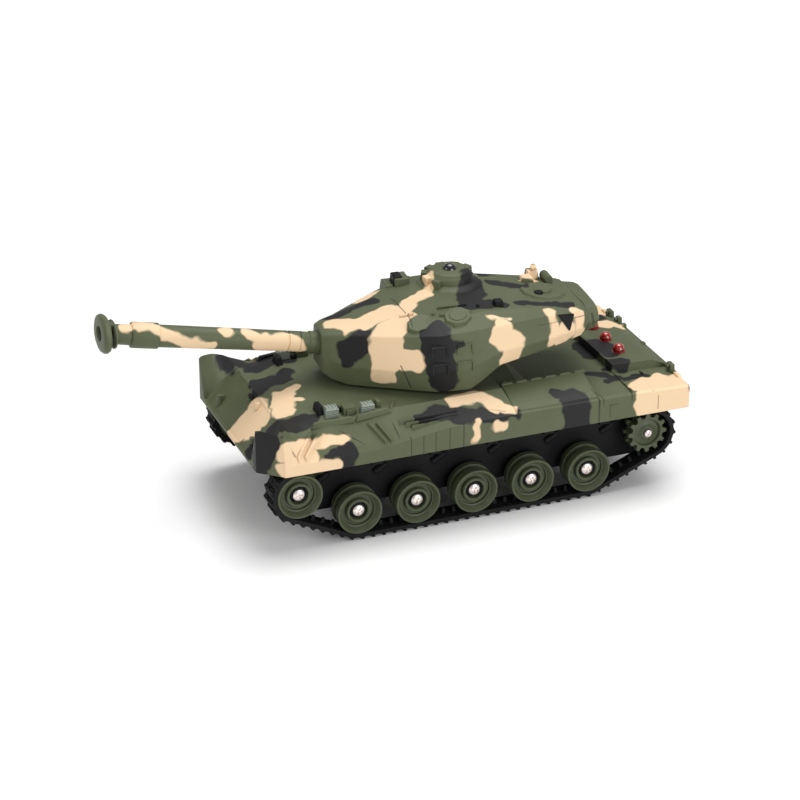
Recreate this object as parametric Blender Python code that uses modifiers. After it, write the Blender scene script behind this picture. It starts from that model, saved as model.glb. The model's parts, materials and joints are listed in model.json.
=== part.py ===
"""Radio-controlled toy battle tank: hull, running gear, turret, gun and the drive inside.

Lengths are in metres. +X is the tank's front, +Y its left side, +Z up, z = 0 the ground under
the tracks. The model is laid out in hull coordinates and moved along X as a whole, so that the
origin ends up under the middle of the overall length, muzzle included.
"""
import math

import bmesh
import bpy
from mathutils import Matrix, Vector

MM = 0.001
GAP = 0.3 * MM              # between pieces that touch
RUNNING_GAP = 0.4 * MM      # between pieces that turn in each other
WALL = 2.0 * MM             # moulded shells

# Hull
HULL_WIDTH = 120 * MM
HULL_REAR_X = -139 * MM
NOSE_X = 108 * MM
SKIRT_BOTTOM_Z = 46.6 * MM
FENDER_Z = 60 * MM
DECK_Z = 68.4 * MM
NOSE_CORNER_INSET = 11.4 * MM
BELLY_Z = 14.2 * MM
TUB_WIDTH = 83 * MM
SPONSON_THICKNESS = 1.8 * MM

# Running gear
WHEEL_RADIUS = 12.6 * MM
WHEEL_WIDTH = 12 * MM
WHEEL_PITCH = 33.5 * MM
ROAD_WHEELS = 5
FIRST_WHEEL_X = 53 * MM
IDLER_Z = 32 * MM
SPROCKET_Z = 32 * MM
SPROCKET_OFFSET = 36.2 * MM
SPROCKET_RADIUS = 11.9 * MM
SPROCKET_TEETH = 12
AXLE_RADIUS = 1.9 * MM
TRACK_THICKNESS = 2.4 * MM
CLEAT_HEIGHT = 1.1 * MM
CLEAT_PITCH = 6.4 * MM
TRACK_WIDTH = 12.4 * MM
WHEEL_FACE_INSET = 3 * MM   # outer wheel face, in from the skirt's face

# Turret and gun, in turret coordinates: x = 0 on the turning axis, x forward along the gun
TURRET_X = -10 * MM
TURRET_REST_YAW = math.radians(-5.0)
TURRET_RING_RADIUS = 20 * MM
TURRET_CLEARANCE = 1.7 * MM
TRUNNION_X = 54 * MM
TRUNNION_Z = 88.3 * MM
GUN_REST_ELEVATION = math.radians(9.6)
MANTLET_RADIUS = 9.4 * MM
MANTLET_WIDTH = 19 * MM
GUN_REACH = 130.5 * MM
BRAKE_LENGTH = 7 * MM
BRAKE_WIDTH = 36 * MM
BRAKE_HEIGHT = 17.5 * MM
SLEEVE_LENGTH = 15 * MM
NECK_LENGTH = 10 * MM       # barrel between its sleeve and the brake
BARREL_RADIUS = 6.0 * MM
BORE_RADIUS = 3.0 * MM
CUPOLA_AT = (-15 * MM, -15 * MM)
CUPOLA_RADIUS = 20 * MM
ROOF_Z = 110 * MM
CUPOLA_HEIGHT = 11 * MM
RING_GEAR_RADIUS = 25 * MM
RING_GEAR_HEIGHT = 3 * MM
RING_GEAR_TEETH = 35
PINION_TEETH = 7

# Inside and electrics
BATTERY_X = -66 * MM
BATTERY_SIZE = (58 * MM, 34 * MM, 16 * MM)
DOOR_SIZE = (62 * MM, 37 * MM)
DOOR_HINGE_INSET = 1 * MM
SWITCH_X = 22 * MM
SWITCH_TRAVEL = 4 * MM
MOTOR_RADIUS = 9.5 * MM
LED_X = -116 * MM
LED_PITCH = 17 * MM
LED_RADIUS = 2.4 * MM
SCREW_HEAD_RADIUS = 3.3 * MM

HALF_WIDTH = HULL_WIDTH / 2
TRACK_RADIUS = WHEEL_RADIUS + GAP + TRACK_THICKNESS + CLEAT_HEIGHT
WHEEL_Z = TRACK_RADIUS
SPONSON_Z = max(IDLER_Z, SPROCKET_Z) + TRACK_RADIUS + 0.5 * MM + SPONSON_THICKNESS
LAST_WHEEL_X = FIRST_WHEEL_X - (ROAD_WHEELS - 1) * WHEEL_PITCH
IDLER_X = FIRST_WHEEL_X + WHEEL_PITCH
SPROCKET_X = LAST_WHEEL_X - SPROCKET_OFFSET
WHEEL_FACE_Y = HALF_WIDTH - WHEEL_FACE_INSET
WHEEL_Y = WHEEL_FACE_Y - WHEEL_WIDTH / 2
TURRET_BASE_Z = DECK_Z + TURRET_CLEARANCE
SIDES = (("left", 1), ("right", -1))

for leftover in list(bpy.data.objects):
    bpy.data.objects.remove(leftover)
parts = bpy.data.collections.new("rc_tank")
cutters = bpy.data.collections.new("rc_tank_cutters")
bpy.context.scene.collection.children.link(parts)
bpy.context.scene.collection.children.link(cutters)


def material(name, colour, roughness, metallic=0.0):
    finish = bpy.data.materials.new(name)
    finish.use_nodes = True
    shader = finish.node_tree.nodes["Principled BSDF"]
    shader.inputs["Base Color"].default_value = (*colour, 1.0)
    shader.inputs["Roughness"].default_value = roughness
    shader.inputs["Metallic"].default_value = metallic
    return finish


OLIVE = material("olive_plastic", (0.13, 0.15, 0.09), 0.5)
WHEEL_OLIVE = material("wheel_olive_plastic", (0.09, 0.11, 0.06), 0.45)
BLACK = material("black_plastic", (0.02, 0.02, 0.022), 0.5)
RUBBER = material("track_rubber", (0.012, 0.012, 0.014), 0.7)
STEEL = material("screw_steel", (0.75, 0.72, 0.68), 0.3, 1.0)
RED = material("red_lens", (0.5, 0.02, 0.01), 0.2)
BOARD_GREEN = material("board_green", (0.02, 0.15, 0.05), 0.5)
BATTERY_BLUE = material("battery_wrap", (0.03, 0.10, 0.35), 0.4)
WHITE_PLASTIC = material("gear_nylon", (0.8, 0.8, 0.78), 0.4)


# ---------------------------------------------------------------- modelling tools
def add(name, mesh, finish, group=parts, parent=None):
    """A new object made from a mesh, in its collection and under its parent."""
    piece = bpy.data.objects.new(name, mesh)
    if not mesh.materials:
        mesh.materials.append(finish)
    group.objects.link(piece)
    piece.parent = parent
    if group is cutters:
        piece.hide_render = True
        piece.display_type = "WIRE"
    return piece


def mesh_from(bm, name, smooth_degrees=None):
    bmesh.ops.recalc_face_normals(bm, faces=bm.faces)
    mesh = bpy.data.meshes.new(name)
    bm.to_mesh(mesh)
    bm.free()
    if smooth_degrees is not None:
        mesh.shade_smooth()
        mesh.set_sharp_from_angle(angle=math.radians(smooth_degrees))
    return mesh


def box_mesh(name, low, high):
    bm = bmesh.new()
    bmesh.ops.create_cube(bm, size=1.0)
    size = Vector(high) - Vector(low)
    bmesh.ops.scale(bm, vec=size, verts=bm.verts)
    bmesh.ops.translate(bm, vec=(Vector(high) + Vector(low)) / 2, verts=bm.verts)
    return mesh_from(bm, name)


def cylinder_mesh(name, radius, low, high, axis="Z", segments=32, at=(0, 0)):
    """A cylinder along an axis between two stations; at gives the other two coordinates."""
    bm = bmesh.new()
    bmesh.ops.create_cone(bm, cap_ends=True, segments=segments, radius1=radius, radius2=radius,
                          depth=high - low)
    middle = (low + high) / 2
    turn = {"Z": Matrix(), "Y": Matrix.Rotation(math.radians(90), 4, "X"),
            "X": Matrix.Rotation(math.radians(90), 4, "Y")}[axis]
    place = {"Z": (at[0], at[1], middle), "Y": (at[0], middle, at[1]),
             "X": (middle, at[0], at[1])}[axis]
    bmesh.ops.transform(bm, matrix=Matrix.Translation(place) @ turn, verts=bm.verts)
    return mesh_from(bm, name, 40)


def loft_mesh(name, rings):
    """Skin between rings of equal point counts, closed by a face at each end."""
    bm = bmesh.new()
    rows = [[bm.verts.new(point) for point in ring] for ring in rings]
    count = len(rows[0])
    for row, following in zip(rows, rows[1:]):
        for i in range(count):
            j = (i + 1) % count
            bm.faces.new((row[i], row[j], following[j], following[i]))
    bm.faces.new(rows[0])
    bm.faces.new(rows[-1])
    return mesh_from(bm, name)


def mirrored_ring(x, half):
    """A closed ring at a station from its +Y half, given from the bottom up to the crown."""
    left = [(x, y, z) for y, z in half]
    right = [(x, -y, z) for y, z in reversed(half) if y > 1e-6]
    return left + right


def extruded_mesh(name, outlines, low, high):
    """Flat XZ outlines (the first one outside, the others holes) extruded along Y."""
    curve = bpy.data.curves.new(name + "_outline", "CURVE")
    curve.dimensions = "2D"
    curve.fill_mode = "BOTH"
    curve.extrude = (high - low) / 2
    for outline in outlines:
        spline = curve.splines.new("POLY")
        spline.points.add(len(outline) - 1)
        for point, (x, z) in zip(spline.points, outline):
            point.co = (x, z, 0, 1)
        spline.use_cyclic_u = True
    guide = bpy.data.objects.new(name + "_guide", curve)
    cutters.objects.link(guide)
    evaluated = guide.evaluated_get(bpy.context.evaluated_depsgraph_get())
    mesh = bpy.data.meshes.new_from_object(evaluated)
    bpy.data.objects.remove(guide)
    bm = bmesh.new()
    bm.from_mesh(mesh)
    bmesh.ops.remove_doubles(bm, verts=bm.verts, dist=0.01 * MM)
    stand = Matrix.Translation((0, (low + high) / 2, 0)) @ Matrix.Rotation(math.radians(90), 4, "X")
    bmesh.ops.transform(bm, matrix=stand, verts=bm.verts)
    bpy.data.meshes.remove(mesh)
    return mesh_from(bm, name)


def turned(name, profile, finish, parent=None, segments=32, group=parts):
    """A profile of (radius, height) points turned about the object's own Z axis.

    The profile runs down the outer side. It closes on the axis or on itself.
    """
    bm = bmesh.new()
    verts = [bm.verts.new((radius, 0, height)) for radius, height in profile]
    for first, second in zip(verts, verts[1:]):
        bm.edges.new((first, second))
    if profile[0][0] > 0:
        bm.edges.new((verts[-1], verts[0]))
    mesh = bpy.data.meshes.new(name)
    bm.to_mesh(mesh)
    bm.free()
    piece = add(name, mesh, finish, group, parent)
    screw = piece.modifiers.new("turn", "SCREW")
    screw.steps = segments
    screw.render_steps = segments
    screw.use_merge_vertices = True
    screw.merge_threshold = 0.00001
    screw.use_smooth_shade = True
    return piece


def boolean(piece, tool, operation):
    step = piece.modifiers.new(operation.lower(), "BOOLEAN")
    step.operation = operation
    step.object = tool
    step.solver = "EXACT"


def cut(piece, mesh, parent=None):
    boolean(piece, add(mesh.name, mesh, BLACK, cutters, parent), "DIFFERENCE")


def fuse(piece, mesh, parent=None):
    boolean(piece, add(mesh.name, mesh, BLACK, cutters, parent), "UNION")


def empty(name, location, rotation=(0, 0, 0), parent=None):
    axis = bpy.data.objects.new(name, None)
    parts.objects.link(axis)
    axis.location = location
    axis.rotation_euler = rotation
    axis.parent = parent
    return axis


# ---------------------------------------------------------------- frame
# The rim of the muzzle brake's oval front reaches furthest forward, with the gun raised and swung.
brake_front = TRUNNION_X + GUN_REACH * math.cos(GUN_REST_ELEVATION)
brake_edge = math.hypot(BRAKE_HEIGHT / 2 * math.sin(GUN_REST_ELEVATION) * math.cos(TURRET_REST_YAW),
                        BRAKE_WIDTH / 2 * math.sin(TURRET_REST_YAW))
MUZZLE_X = TURRET_X + brake_front * math.cos(TURRET_REST_YAW) + brake_edge
ORIGIN_SHIFT = -(MUZZLE_X + HULL_REAR_X) / 2
tank = empty("tank_frame", (ORIGIN_SHIFT, 0, 0))


# ---------------------------------------------------------------- upper hull
def hull_station(x, side, skirt_top, ridge, inner, floor, middle):
    """Half section: skirt bottom, skirt top, ridge, inner edge of the fender, floor, middle.

    side, ridge and inner are measured in from the hull's half width.
    """
    outer = HALF_WIDTH - side
    half = [(outer, SKIRT_BOTTOM_Z), (outer, skirt_top), (HALF_WIDTH - ridge[0], ridge[1]),
            (HALF_WIDTH - inner[0], inner[1]), (HALF_WIDTH - floor[0], floor[1]), (0, middle)]
    return mirrored_ring(x, half)


def build_upper_hull():
    lip = SKIRT_BOTTOM_Z + 2 * MM
    ring_rear = TURRET_X - TURRET_RING_RADIUS - 25 * MM
    rear = FENDER_Z
    stations = (
        (NOSE_X, NOSE_CORNER_INSET, 50 * MM, (11.6 * MM, 71 * MM), (21 * MM, lip), (40 * MM, lip), lip),
        (95 * MM, 0, 52.3 * MM, (3 * MM, 67.8 * MM), (25 * MM, 61.5 * MM), (40 * MM, 60 * MM), 60 * MM),
        (89 * MM, 0, 52.5 * MM, (6 * MM, 66 * MM), (30 * MM, 66 * MM), (40 * MM, 65.4 * MM), 65.4 * MM),
        (75.5 * MM, 0, 53 * MM, (13 * MM, 66.3 * MM), (22 * MM, 67.4 * MM), (40 * MM, DECK_Z), DECK_Z),
        (50 * MM, 0, 53.6 * MM, (14 * MM, 66.6 * MM), (20 * MM, 67.4 * MM), (30 * MM, DECK_Z), DECK_Z),
        (32 * MM, 0, 55.8 * MM, (16 * MM, DECK_Z), (20 * MM, DECK_Z), (30 * MM, DECK_Z), DECK_Z),
        (-4 * MM, 0, 60.5 * MM, (17 * MM, DECK_Z), (20 * MM, DECK_Z), (24 * MM, DECK_Z), DECK_Z),
        (-33 * MM, 0, 60.3 * MM, (18 * MM, DECK_Z), (21 * MM, DECK_Z), (24 * MM, DECK_Z), DECK_Z),
        (-36 * MM, 0, 60.3 * MM, (2 * MM, 62 * MM), (21 * MM, DECK_Z), (24 * MM, DECK_Z), DECK_Z),
        (ring_rear, 0, 60.2 * MM, (2 * MM, 62 * MM), (22 * MM, 68 * MM), (24 * MM, 67.9 * MM), DECK_Z),
        (ring_rear - 2 * MM, 0, 60.2 * MM, (2 * MM, 62 * MM), (22 * MM, 68 * MM), (24 * MM, 62 * MM), 62 * MM),
        (-83 * MM, 0, rear, (2 * MM, 62 * MM), (22 * MM, 68 * MM), (24 * MM, 62 * MM), 62 * MM),
        (-84 * MM, 0, rear, (2 * MM, 61 * MM), (22 * MM, 61.6 * MM), (24 * MM, 62 * MM), 62 * MM),
        (-103.5 * MM, 0, 59 * MM, (2 * MM, 61 * MM), (26 * MM, 61.4 * MM), (27 * MM, 62 * MM), 62 * MM),
        (-105 * MM, 0, 59 * MM, (2 * MM, 61 * MM), (26 * MM, 61.4 * MM), (28 * MM, 65.5 * MM), 65.5 * MM),
        (-127 * MM, 0, 59 * MM, (2 * MM, 60.6 * MM), (26 * MM, 61 * MM), (28 * MM, 65 * MM), 65 * MM),
        (HULL_REAR_X, 0, 58.8 * MM, (2 * MM, rear), (26 * MM, rear), (28 * MM, rear), rear),
    )
    hull = add("upper_hull", loft_mesh("upper_hull", [hull_station(*s) for s in stations]), OLIVE,
               parent=tank)

    below = SKIRT_BOTTOM_Z - 5 * MM
    side = HALF_WIDTH - WALL
    hollow = (
        (NOSE_X - 12 * MM, 1 * MM, SPONSON_Z + 1.4 * MM, 34 * MM, 56 * MM),
        (NOSE_X - 24 * MM, 1 * MM, SPONSON_Z + 2.4 * MM, 36 * MM, 62 * MM),
        (50 * MM, 1 * MM, SPONSON_Z + 2.4 * MM, 38 * MM, DECK_Z - WALL),
        (-33 * MM, 1 * MM, 58 * MM, 40 * MM, DECK_Z - WALL),
        (ring_rear + 2 * MM, 1 * MM, 58 * MM, 34 * MM, DECK_Z - WALL),
        (ring_rear, 1 * MM, 58 * MM, 34 * MM, 60 * MM),
        (HULL_REAR_X + 10 * MM, 1 * MM, 56.5 * MM, 32 * MM, 59.5 * MM),
        (HULL_REAR_X + WALL, 1 * MM, 56.5 * MM, 30 * MM, 57.5 * MM),
    )
    rings = []
    for x, inset, edge, y, top in hollow:
        rings.append(mirrored_ring(x, [(side - inset, below), (side - inset, edge), (y, top), (0, top)]))
    cut(hull, loft_mesh("hull_hollow", rings), tank)
    for side_name, side in SIDES:
        low, high = sorted((side * (TUB_WIDTH / 2 + 0.5 * MM), side * (HALF_WIDTH - 3 * MM)))
        cut(hull, cylinder_mesh("idler_arch_" + side_name, TRACK_RADIUS + 0.8 * MM, low, high, "Y", 32,
                                (IDLER_X, IDLER_Z)), tank)
    cut(hull, cylinder_mesh("turret_opening", TURRET_RING_RADIUS + RUNNING_GAP, DECK_Z - 10 * MM,
                            DECK_Z + 5 * MM, segments=48, at=(TURRET_X, 0)), tank)
    for number in range(3):
        y = (1 - number) * LED_PITCH
        cut(hull, cylinder_mesh("led_hole_%d" % (number + 1), LED_RADIUS + GAP, 50 * MM, 70 * MM,
                                segments=16, at=(LED_X, y)), tank)
    return hull


# ---------------------------------------------------------------- lower hull
def stub_axle(name, x, z, side):
    """A fixed axle that a wheel turns on, with a blind hole for its screw."""
    inner = TUB_WIDTH / 2 - 1 * MM
    outer = WHEEL_FACE_Y - 3.2 * MM
    low, high = sorted((side * inner, side * outer))
    return cylinder_mesh(name, AXLE_RADIUS, low, high, "Y", 16, (x, z))


def build_lower_hull():
    half = TUB_WIDTH / 2
    rear = HULL_REAR_X + 3.4 * MM
    step = NOSE_X - 17 * MM
    under_nose = SKIRT_BOTTOM_Z - GAP
    belly_front = IDLER_X - 8 * MM
    outline = [(step, SPONSON_Z), (step, under_nose), (NOSE_X - 7 * MM, under_nose),
               (belly_front, BELLY_Z), (SPROCKET_X, BELLY_Z), (rear, 32 * MM), (rear, SPONSON_Z)]
    tub = add("lower_hull", extruded_mesh("lower_hull", [outline], -half, half), BLACK, parent=tank)

    edge = HALF_WIDTH - WALL - 1.4 * MM
    wing = box_mesh("sponson_floor", (rear, -edge, SPONSON_Z - SPONSON_THICKNESS),
                    (NOSE_X - 28 * MM, edge, SPONSON_Z))
    fuse(tub, wing, tank)
    above = SPONSON_Z + 5 * MM
    inside = [(step - WALL, above), (step - WALL, under_nose - WALL), (belly_front - 1 * MM, BELLY_Z + WALL),
              (SPROCKET_X, BELLY_Z + WALL), (rear + WALL, 33 * MM), (rear + WALL, above)]
    cut(tub, extruded_mesh("tub_hollow", [inside], WALL - half, half - WALL), tank)
    for side_name, side in SIDES:
        for number in range(ROAD_WHEELS):
            x = FIRST_WHEEL_X - number * WHEEL_PITCH
            fuse(tub, stub_axle("axle_%d_%s" % (number + 1, side_name), x, WHEEL_Z, side), tank)
        fuse(tub, stub_axle("idler_axle_%s" % side_name, IDLER_X, IDLER_Z, side), tank)
    cut(tub, cylinder_mesh("shaft_holes", AXLE_RADIUS + RUNNING_GAP, -half - 5 * MM, half + 5 * MM,
                           "Y", 16, (SPROCKET_X, SPROCKET_Z)), tank)
    length, width = DOOR_SIZE
    cut(tub, box_mesh("battery_opening",
                      (BATTERY_X - length / 2 - RUNNING_GAP, -width / 2 - RUNNING_GAP, BELLY_Z - 2 * MM),
                      (BATTERY_X + length / 2 + RUNNING_GAP, width / 2 + RUNNING_GAP, BELLY_Z + 4 * MM)), tank)
    cut(tub, box_mesh("switch_slot", (SWITCH_X - 4 * MM - GAP, -2 * MM - GAP, BELLY_Z - 2 * MM),
                      (SWITCH_X + 4 * MM + SWITCH_TRAVEL + GAP, 2 * MM + GAP, BELLY_Z + 4 * MM)), tank)
    return tub


# ---------------------------------------------------------------- running gear
def wheel_profile(width):
    """Double disc: dished outer face, groove for the track's guide teeth, plain inner face."""
    rim = WHEEL_RADIUS
    bore = AXLE_RADIUS + RUNNING_GAP
    half = width / 2
    hub = 6.4 * MM
    return [(bore, half - 3.8 * MM), (5 * MM, half - 3.8 * MM), (9.6 * MM, half - 2.4 * MM),
            (10.6 * MM, half), (rim, half - 0.6 * MM), (rim, half - 4.4 * MM), (hub, half - 4.8 * MM),
            (hub, -half + 4.2 * MM), (rim, -half + 3.8 * MM), (rim, -half), (bore, -half)]


def place_on_side(piece, x, z, side):
    """Stands a turned piece on its axle, its +Z end facing out."""
    piece.location = (x, side * WHEEL_Y, z)
    piece.rotation_euler = (math.radians(-90 * side), 0, 0)


def build_wheels():
    shared = None
    for side_name, side in SIDES:
        places = [("road_wheel_%d_%s" % (n + 1, side_name), FIRST_WHEEL_X - n * WHEEL_PITCH, WHEEL_Z)
                  for n in range(ROAD_WHEELS)]
        places.append(("idler_wheel_%s" % side_name, IDLER_X, IDLER_Z))
        for name, x, z in places:
            wheel = turned(name, wheel_profile(WHEEL_WIDTH), WHEEL_OLIVE, tank, 20)
            if shared is None:
                shared = wheel.data
            wheel.data = shared
            place_on_side(wheel, x, z, side)
            screw = turned("screw_" + name, [(0, 1.1 * MM), (2.2 * MM, 0.9 * MM), (SCREW_HEAD_RADIUS, 0.3 * MM),
                                             (SCREW_HEAD_RADIUS, 0), (0, 0)], STEEL, tank, 12)
            screw.location = (x, side * (WHEEL_FACE_Y - 3.2 * MM + GAP), z)
            screw.rotation_euler = (math.radians(-90 * side), 0, 0)


def sprocket_outline():
    """Twelve blunt teeth round a disc."""
    points = []
    root = SPROCKET_RADIUS - 2.2 * MM
    for tooth in range(SPROCKET_TEETH):
        middle = math.tau * tooth / SPROCKET_TEETH
        for turn, radius in ((-0.30, root), (-0.17, SPROCKET_RADIUS), (0.17, SPROCKET_RADIUS), (0.30, root)):
            angle = middle + turn * math.tau / SPROCKET_TEETH
            points.append((radius * math.cos(angle), radius * math.sin(angle)))
    return points


def build_sprockets():
    """Toothed outer disc and plain inner disc on one hub; the shaft runs in from the gearbox."""
    for side_name, side in SIDES:
        half = WHEEL_WIDTH / 2
        hub = turned("sprocket_" + side_name,
                     [(AXLE_RADIUS + GAP, half - 2.4 * MM), (4.4 * MM, half - 2.4 * MM),
                      (6 * MM, half - 3.4 * MM), (6.4 * MM, half - 6 * MM), (6.4 * MM, 4 * MM - half),
                      (SPROCKET_RADIUS - 0.4 * MM, 4 * MM - half), (SPROCKET_RADIUS - 0.4 * MM, 1 * MM - half),
                      (AXLE_RADIUS + GAP, 1 * MM - half)], WHEEL_OLIVE, tank, 24)
        place_on_side(hub, SPROCKET_X, SPROCKET_Z, side)
        low, high = sorted((side * (WHEEL_FACE_Y - 5.2 * MM), side * (WHEEL_FACE_Y - 2.6 * MM)))
        disc = extruded_mesh("tooth_disc_" + side_name, [sprocket_outline()], low, high)
        place = Matrix.Translation((SPROCKET_X, 0, SPROCKET_Z))
        disc.transform(place)
        ring = add(disc.name, disc, WHEEL_OLIVE, cutters, tank)
        cut(ring, cylinder_mesh("disc_bore_" + side_name, 5 * MM, low - MM, high + MM, "Y", 24,
                                (SPROCKET_X, SPROCKET_Z)), tank)
        boolean(hub, ring, "UNION")
        shaft = turned("drive_shaft_" + side_name,
                       [(0, 0), (AXLE_RADIUS, 0), (AXLE_RADIUS, -34 * MM), (0, -34 * MM)], STEEL, tank, 16)
        shaft.location = (SPROCKET_X, side * (WHEEL_FACE_Y - 2.8 * MM), SPROCKET_Z)
        shaft.rotation_euler = (math.radians(-90 * side), 0, 0)
        screw = turned("screw_sprocket_" + side_name,
                       [(0, 1.0 * MM), (1.5 * MM, 0.8 * MM), (2.3 * MM, 0.3 * MM), (2.3 * MM, 0), (0, 0)],
                       STEEL, tank, 12)
        screw.location = (SPROCKET_X, side * (WHEEL_FACE_Y - 2.4 * MM + GAP), SPROCKET_Z)
        screw.rotation_euler = (math.radians(-90 * side), 0, 0)


def belt_path(offset):
    """Outline of the belt at a height above the wheels' treads, as arcs joined by straight runs."""
    circles = [(IDLER_X, IDLER_Z), (SPROCKET_X, SPROCKET_Z), (LAST_WHEEL_X, WHEEL_Z), (FIRST_WHEEL_X, WHEEL_Z)]
    radius = WHEEL_RADIUS + offset
    points = []
    for index, (x, z) in enumerate(circles):
        before = circles[index - 1]
        after = circles[(index + 1) % len(circles)]
        start = math.atan2(z - before[1], x - before[0]) - math.pi / 2
        end = math.atan2(after[1] - z, after[0] - x) - math.pi / 2
        sweep = (end - start) % math.tau
        steps = max(2, round(sweep / math.radians(15)))
        for step in range(steps + 1):
            angle = start + sweep * step / steps
            points.append((x + radius * math.cos(angle), z + radius * math.sin(angle)))
    return points


def cleated(path):
    """The path with square cleats standing on it at an even spacing."""
    count = len(path)
    lengths = [math.dist(path[i], path[(i + 1) % count]) for i in range(count)]
    total = sum(lengths)
    cleats = round(total / CLEAT_PITCH)
    pitch = total / cleats

    def at(distance):
        distance %= total
        for i in range(count):
            if distance <= lengths[i]:
                break
            distance -= lengths[i]
        start = Vector(path[i])
        along = (Vector(path[(i + 1) % count]) - start).normalized()
        return start + along * distance, Vector((along.y, -along.x))

    points = []
    for cleat in range(cleats):
        for share, lift in ((0.0, 0.0), (0.5, 0.0), (0.5, CLEAT_HEIGHT), (1.0, CLEAT_HEIGHT)):
            place, outward = at((cleat + share) * pitch)
            points.append(tuple(place + outward * lift))
    return points


def build_tracks():
    inside = belt_path(GAP)
    outside = cleated(belt_path(GAP + TRACK_THICKNESS))
    outer_y = WHEEL_FACE_Y - 0.6 * MM
    for side_name, side in SIDES:
        low, high = sorted((side * (outer_y - TRACK_WIDTH), side * outer_y))
        add("track_" + side_name, extruded_mesh("track_" + side_name, [outside, inside], low, high),
            RUBBER, parent=tank)


# ---------------------------------------------------------------- turret
turret = empty("turret_axis", (TURRET_X, 0, 0), (0, 0, TURRET_REST_YAW), tank)
gun = empty("gun_trunnion", (TRUNNION_X, 0, TRUNNION_Z), (0, -GUN_REST_ELEVATION, 0), turret)

# x, half width and height of the wall's foot, its middle and the roof's edge, height of the crown
TURRET_STATIONS = (
    (63 * MM, (10.5 * MM, 75 * MM), (12 * MM, 85 * MM), (8 * MM, 97.5 * MM), 99.2 * MM),
    (52 * MM, (17 * MM, TURRET_BASE_Z), (20 * MM, 84 * MM), (14 * MM, 98 * MM), 101 * MM),
    (30 * MM, (29 * MM, TURRET_BASE_Z), (32 * MM, 86 * MM), (27 * MM, 101 * MM), 106 * MM),
    (6 * MM, (40.5 * MM, TURRET_BASE_Z), (43.5 * MM, 88 * MM), (41 * MM, 103 * MM), ROOF_Z),
    (-12 * MM, (40.5 * MM, 71.5 * MM), (43.5 * MM, 88 * MM), (40 * MM, 104 * MM), ROOF_Z),
    (-28 * MM, (38 * MM, 82 * MM), (40 * MM, 92 * MM), (36 * MM, 103.5 * MM), 109 * MM),
    (-58 * MM, (31 * MM, 84 * MM), (33 * MM, 93 * MM), (29 * MM, 102.5 * MM), 106 * MM),
    (-90 * MM, (19 * MM, 87.5 * MM), (22 * MM, 94 * MM), (18.5 * MM, 99.5 * MM), 101 * MM),
)


def build_turret_shell():
    rings = []
    hollow = []
    foot = WALL
    for x, wall_foot, waist, edge, crown in TURRET_STATIONS:
        rings.append(mirrored_ring(x, [wall_foot, waist, edge, (0, crown)]))
        inside = min(max(x, TURRET_STATIONS[-1][0] + WALL), TURRET_STATIONS[1][0] - 6 * MM)
        hollow.append(mirrored_ring(inside if x != 63 * MM else inside + 1 * MM,
                                    [(wall_foot[0] - foot, wall_foot[1] - 6 * MM),
                                     (waist[0] - foot, waist[1]), (edge[0] - foot, edge[1] - foot),
                                     (0, crown - foot)]))
    shell = add("turret_shell", loft_mesh("turret_shell", rings), OLIVE, parent=turret)
    cut(shell, loft_mesh("turret_hollow", hollow[1:]), turret)
    slot = MANTLET_WIDTH / 2 + RUNNING_GAP
    cut(shell, cylinder_mesh("mantlet_slot", MANTLET_RADIUS + 0.7 * MM, -slot, slot, "Y", 32,
                             (TRUNNION_X, TRUNNION_Z)), turret)
    cut(shell, box_mesh("gun_slot", (TRUNNION_X, -slot, TRUNNION_Z - 8 * MM),
                        (TRUNNION_X + 20 * MM, slot, TRUNNION_Z + 8.6 * MM)), turret)
    return shell


def build_turret_base():
    """Floor of the turret: a pan that closes the shell from below, on its bearing neck."""
    thickness = 1.6 * MM
    rings = []
    for x, wall_foot, _, _, _ in TURRET_STATIONS[2:]:
        x = max(x, TURRET_STATIONS[-1][0] + WALL + 1 * MM)
        half = wall_foot[0] - WALL - 1.2 * MM
        low = wall_foot[1] + 0.3 * MM
        rings.append([(x, half, low), (x, half, low + thickness), (x, -half, low + thickness), (x, -half, low)])
    base = add("turret_base", loft_mesh("turret_base", rings), BLACK, parent=turret)
    neck = cylinder_mesh("turret_neck", TURRET_RING_RADIUS, DECK_Z - WALL - GAP, TURRET_BASE_Z + 1.5 * MM,
                         segments=48)
    fuse(base, neck, turret)
    cut(base, cylinder_mesh("cable_way", TURRET_RING_RADIUS - 5 * MM, DECK_Z - 10 * MM,
                            TURRET_BASE_Z + 8 * MM, segments=32), turret)
    return base


def gear_mesh(name, teeth, tip, root, low, high, bore):
    """A spur gear with straight-sided teeth about Z."""
    bm = bmesh.new()
    outer = []
    for tooth in range(teeth):
        for turn, radius in ((-0.25, root), (-0.12, tip), (0.12, tip), (0.25, root)):
            angle = (tooth + turn) * math.tau / teeth
            outer.append(bm.verts.new((radius * math.cos(angle), radius * math.sin(angle), low)))
    face = bm.faces.new(outer)
    raised = bmesh.ops.extrude_face_region(bm, geom=[face])["geom"]
    bmesh.ops.translate(bm, vec=(0, 0, high - low), verts=[v for v in raised if isinstance(v, bmesh.types.BMVert)])
    return mesh_from(bm, name)


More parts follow.
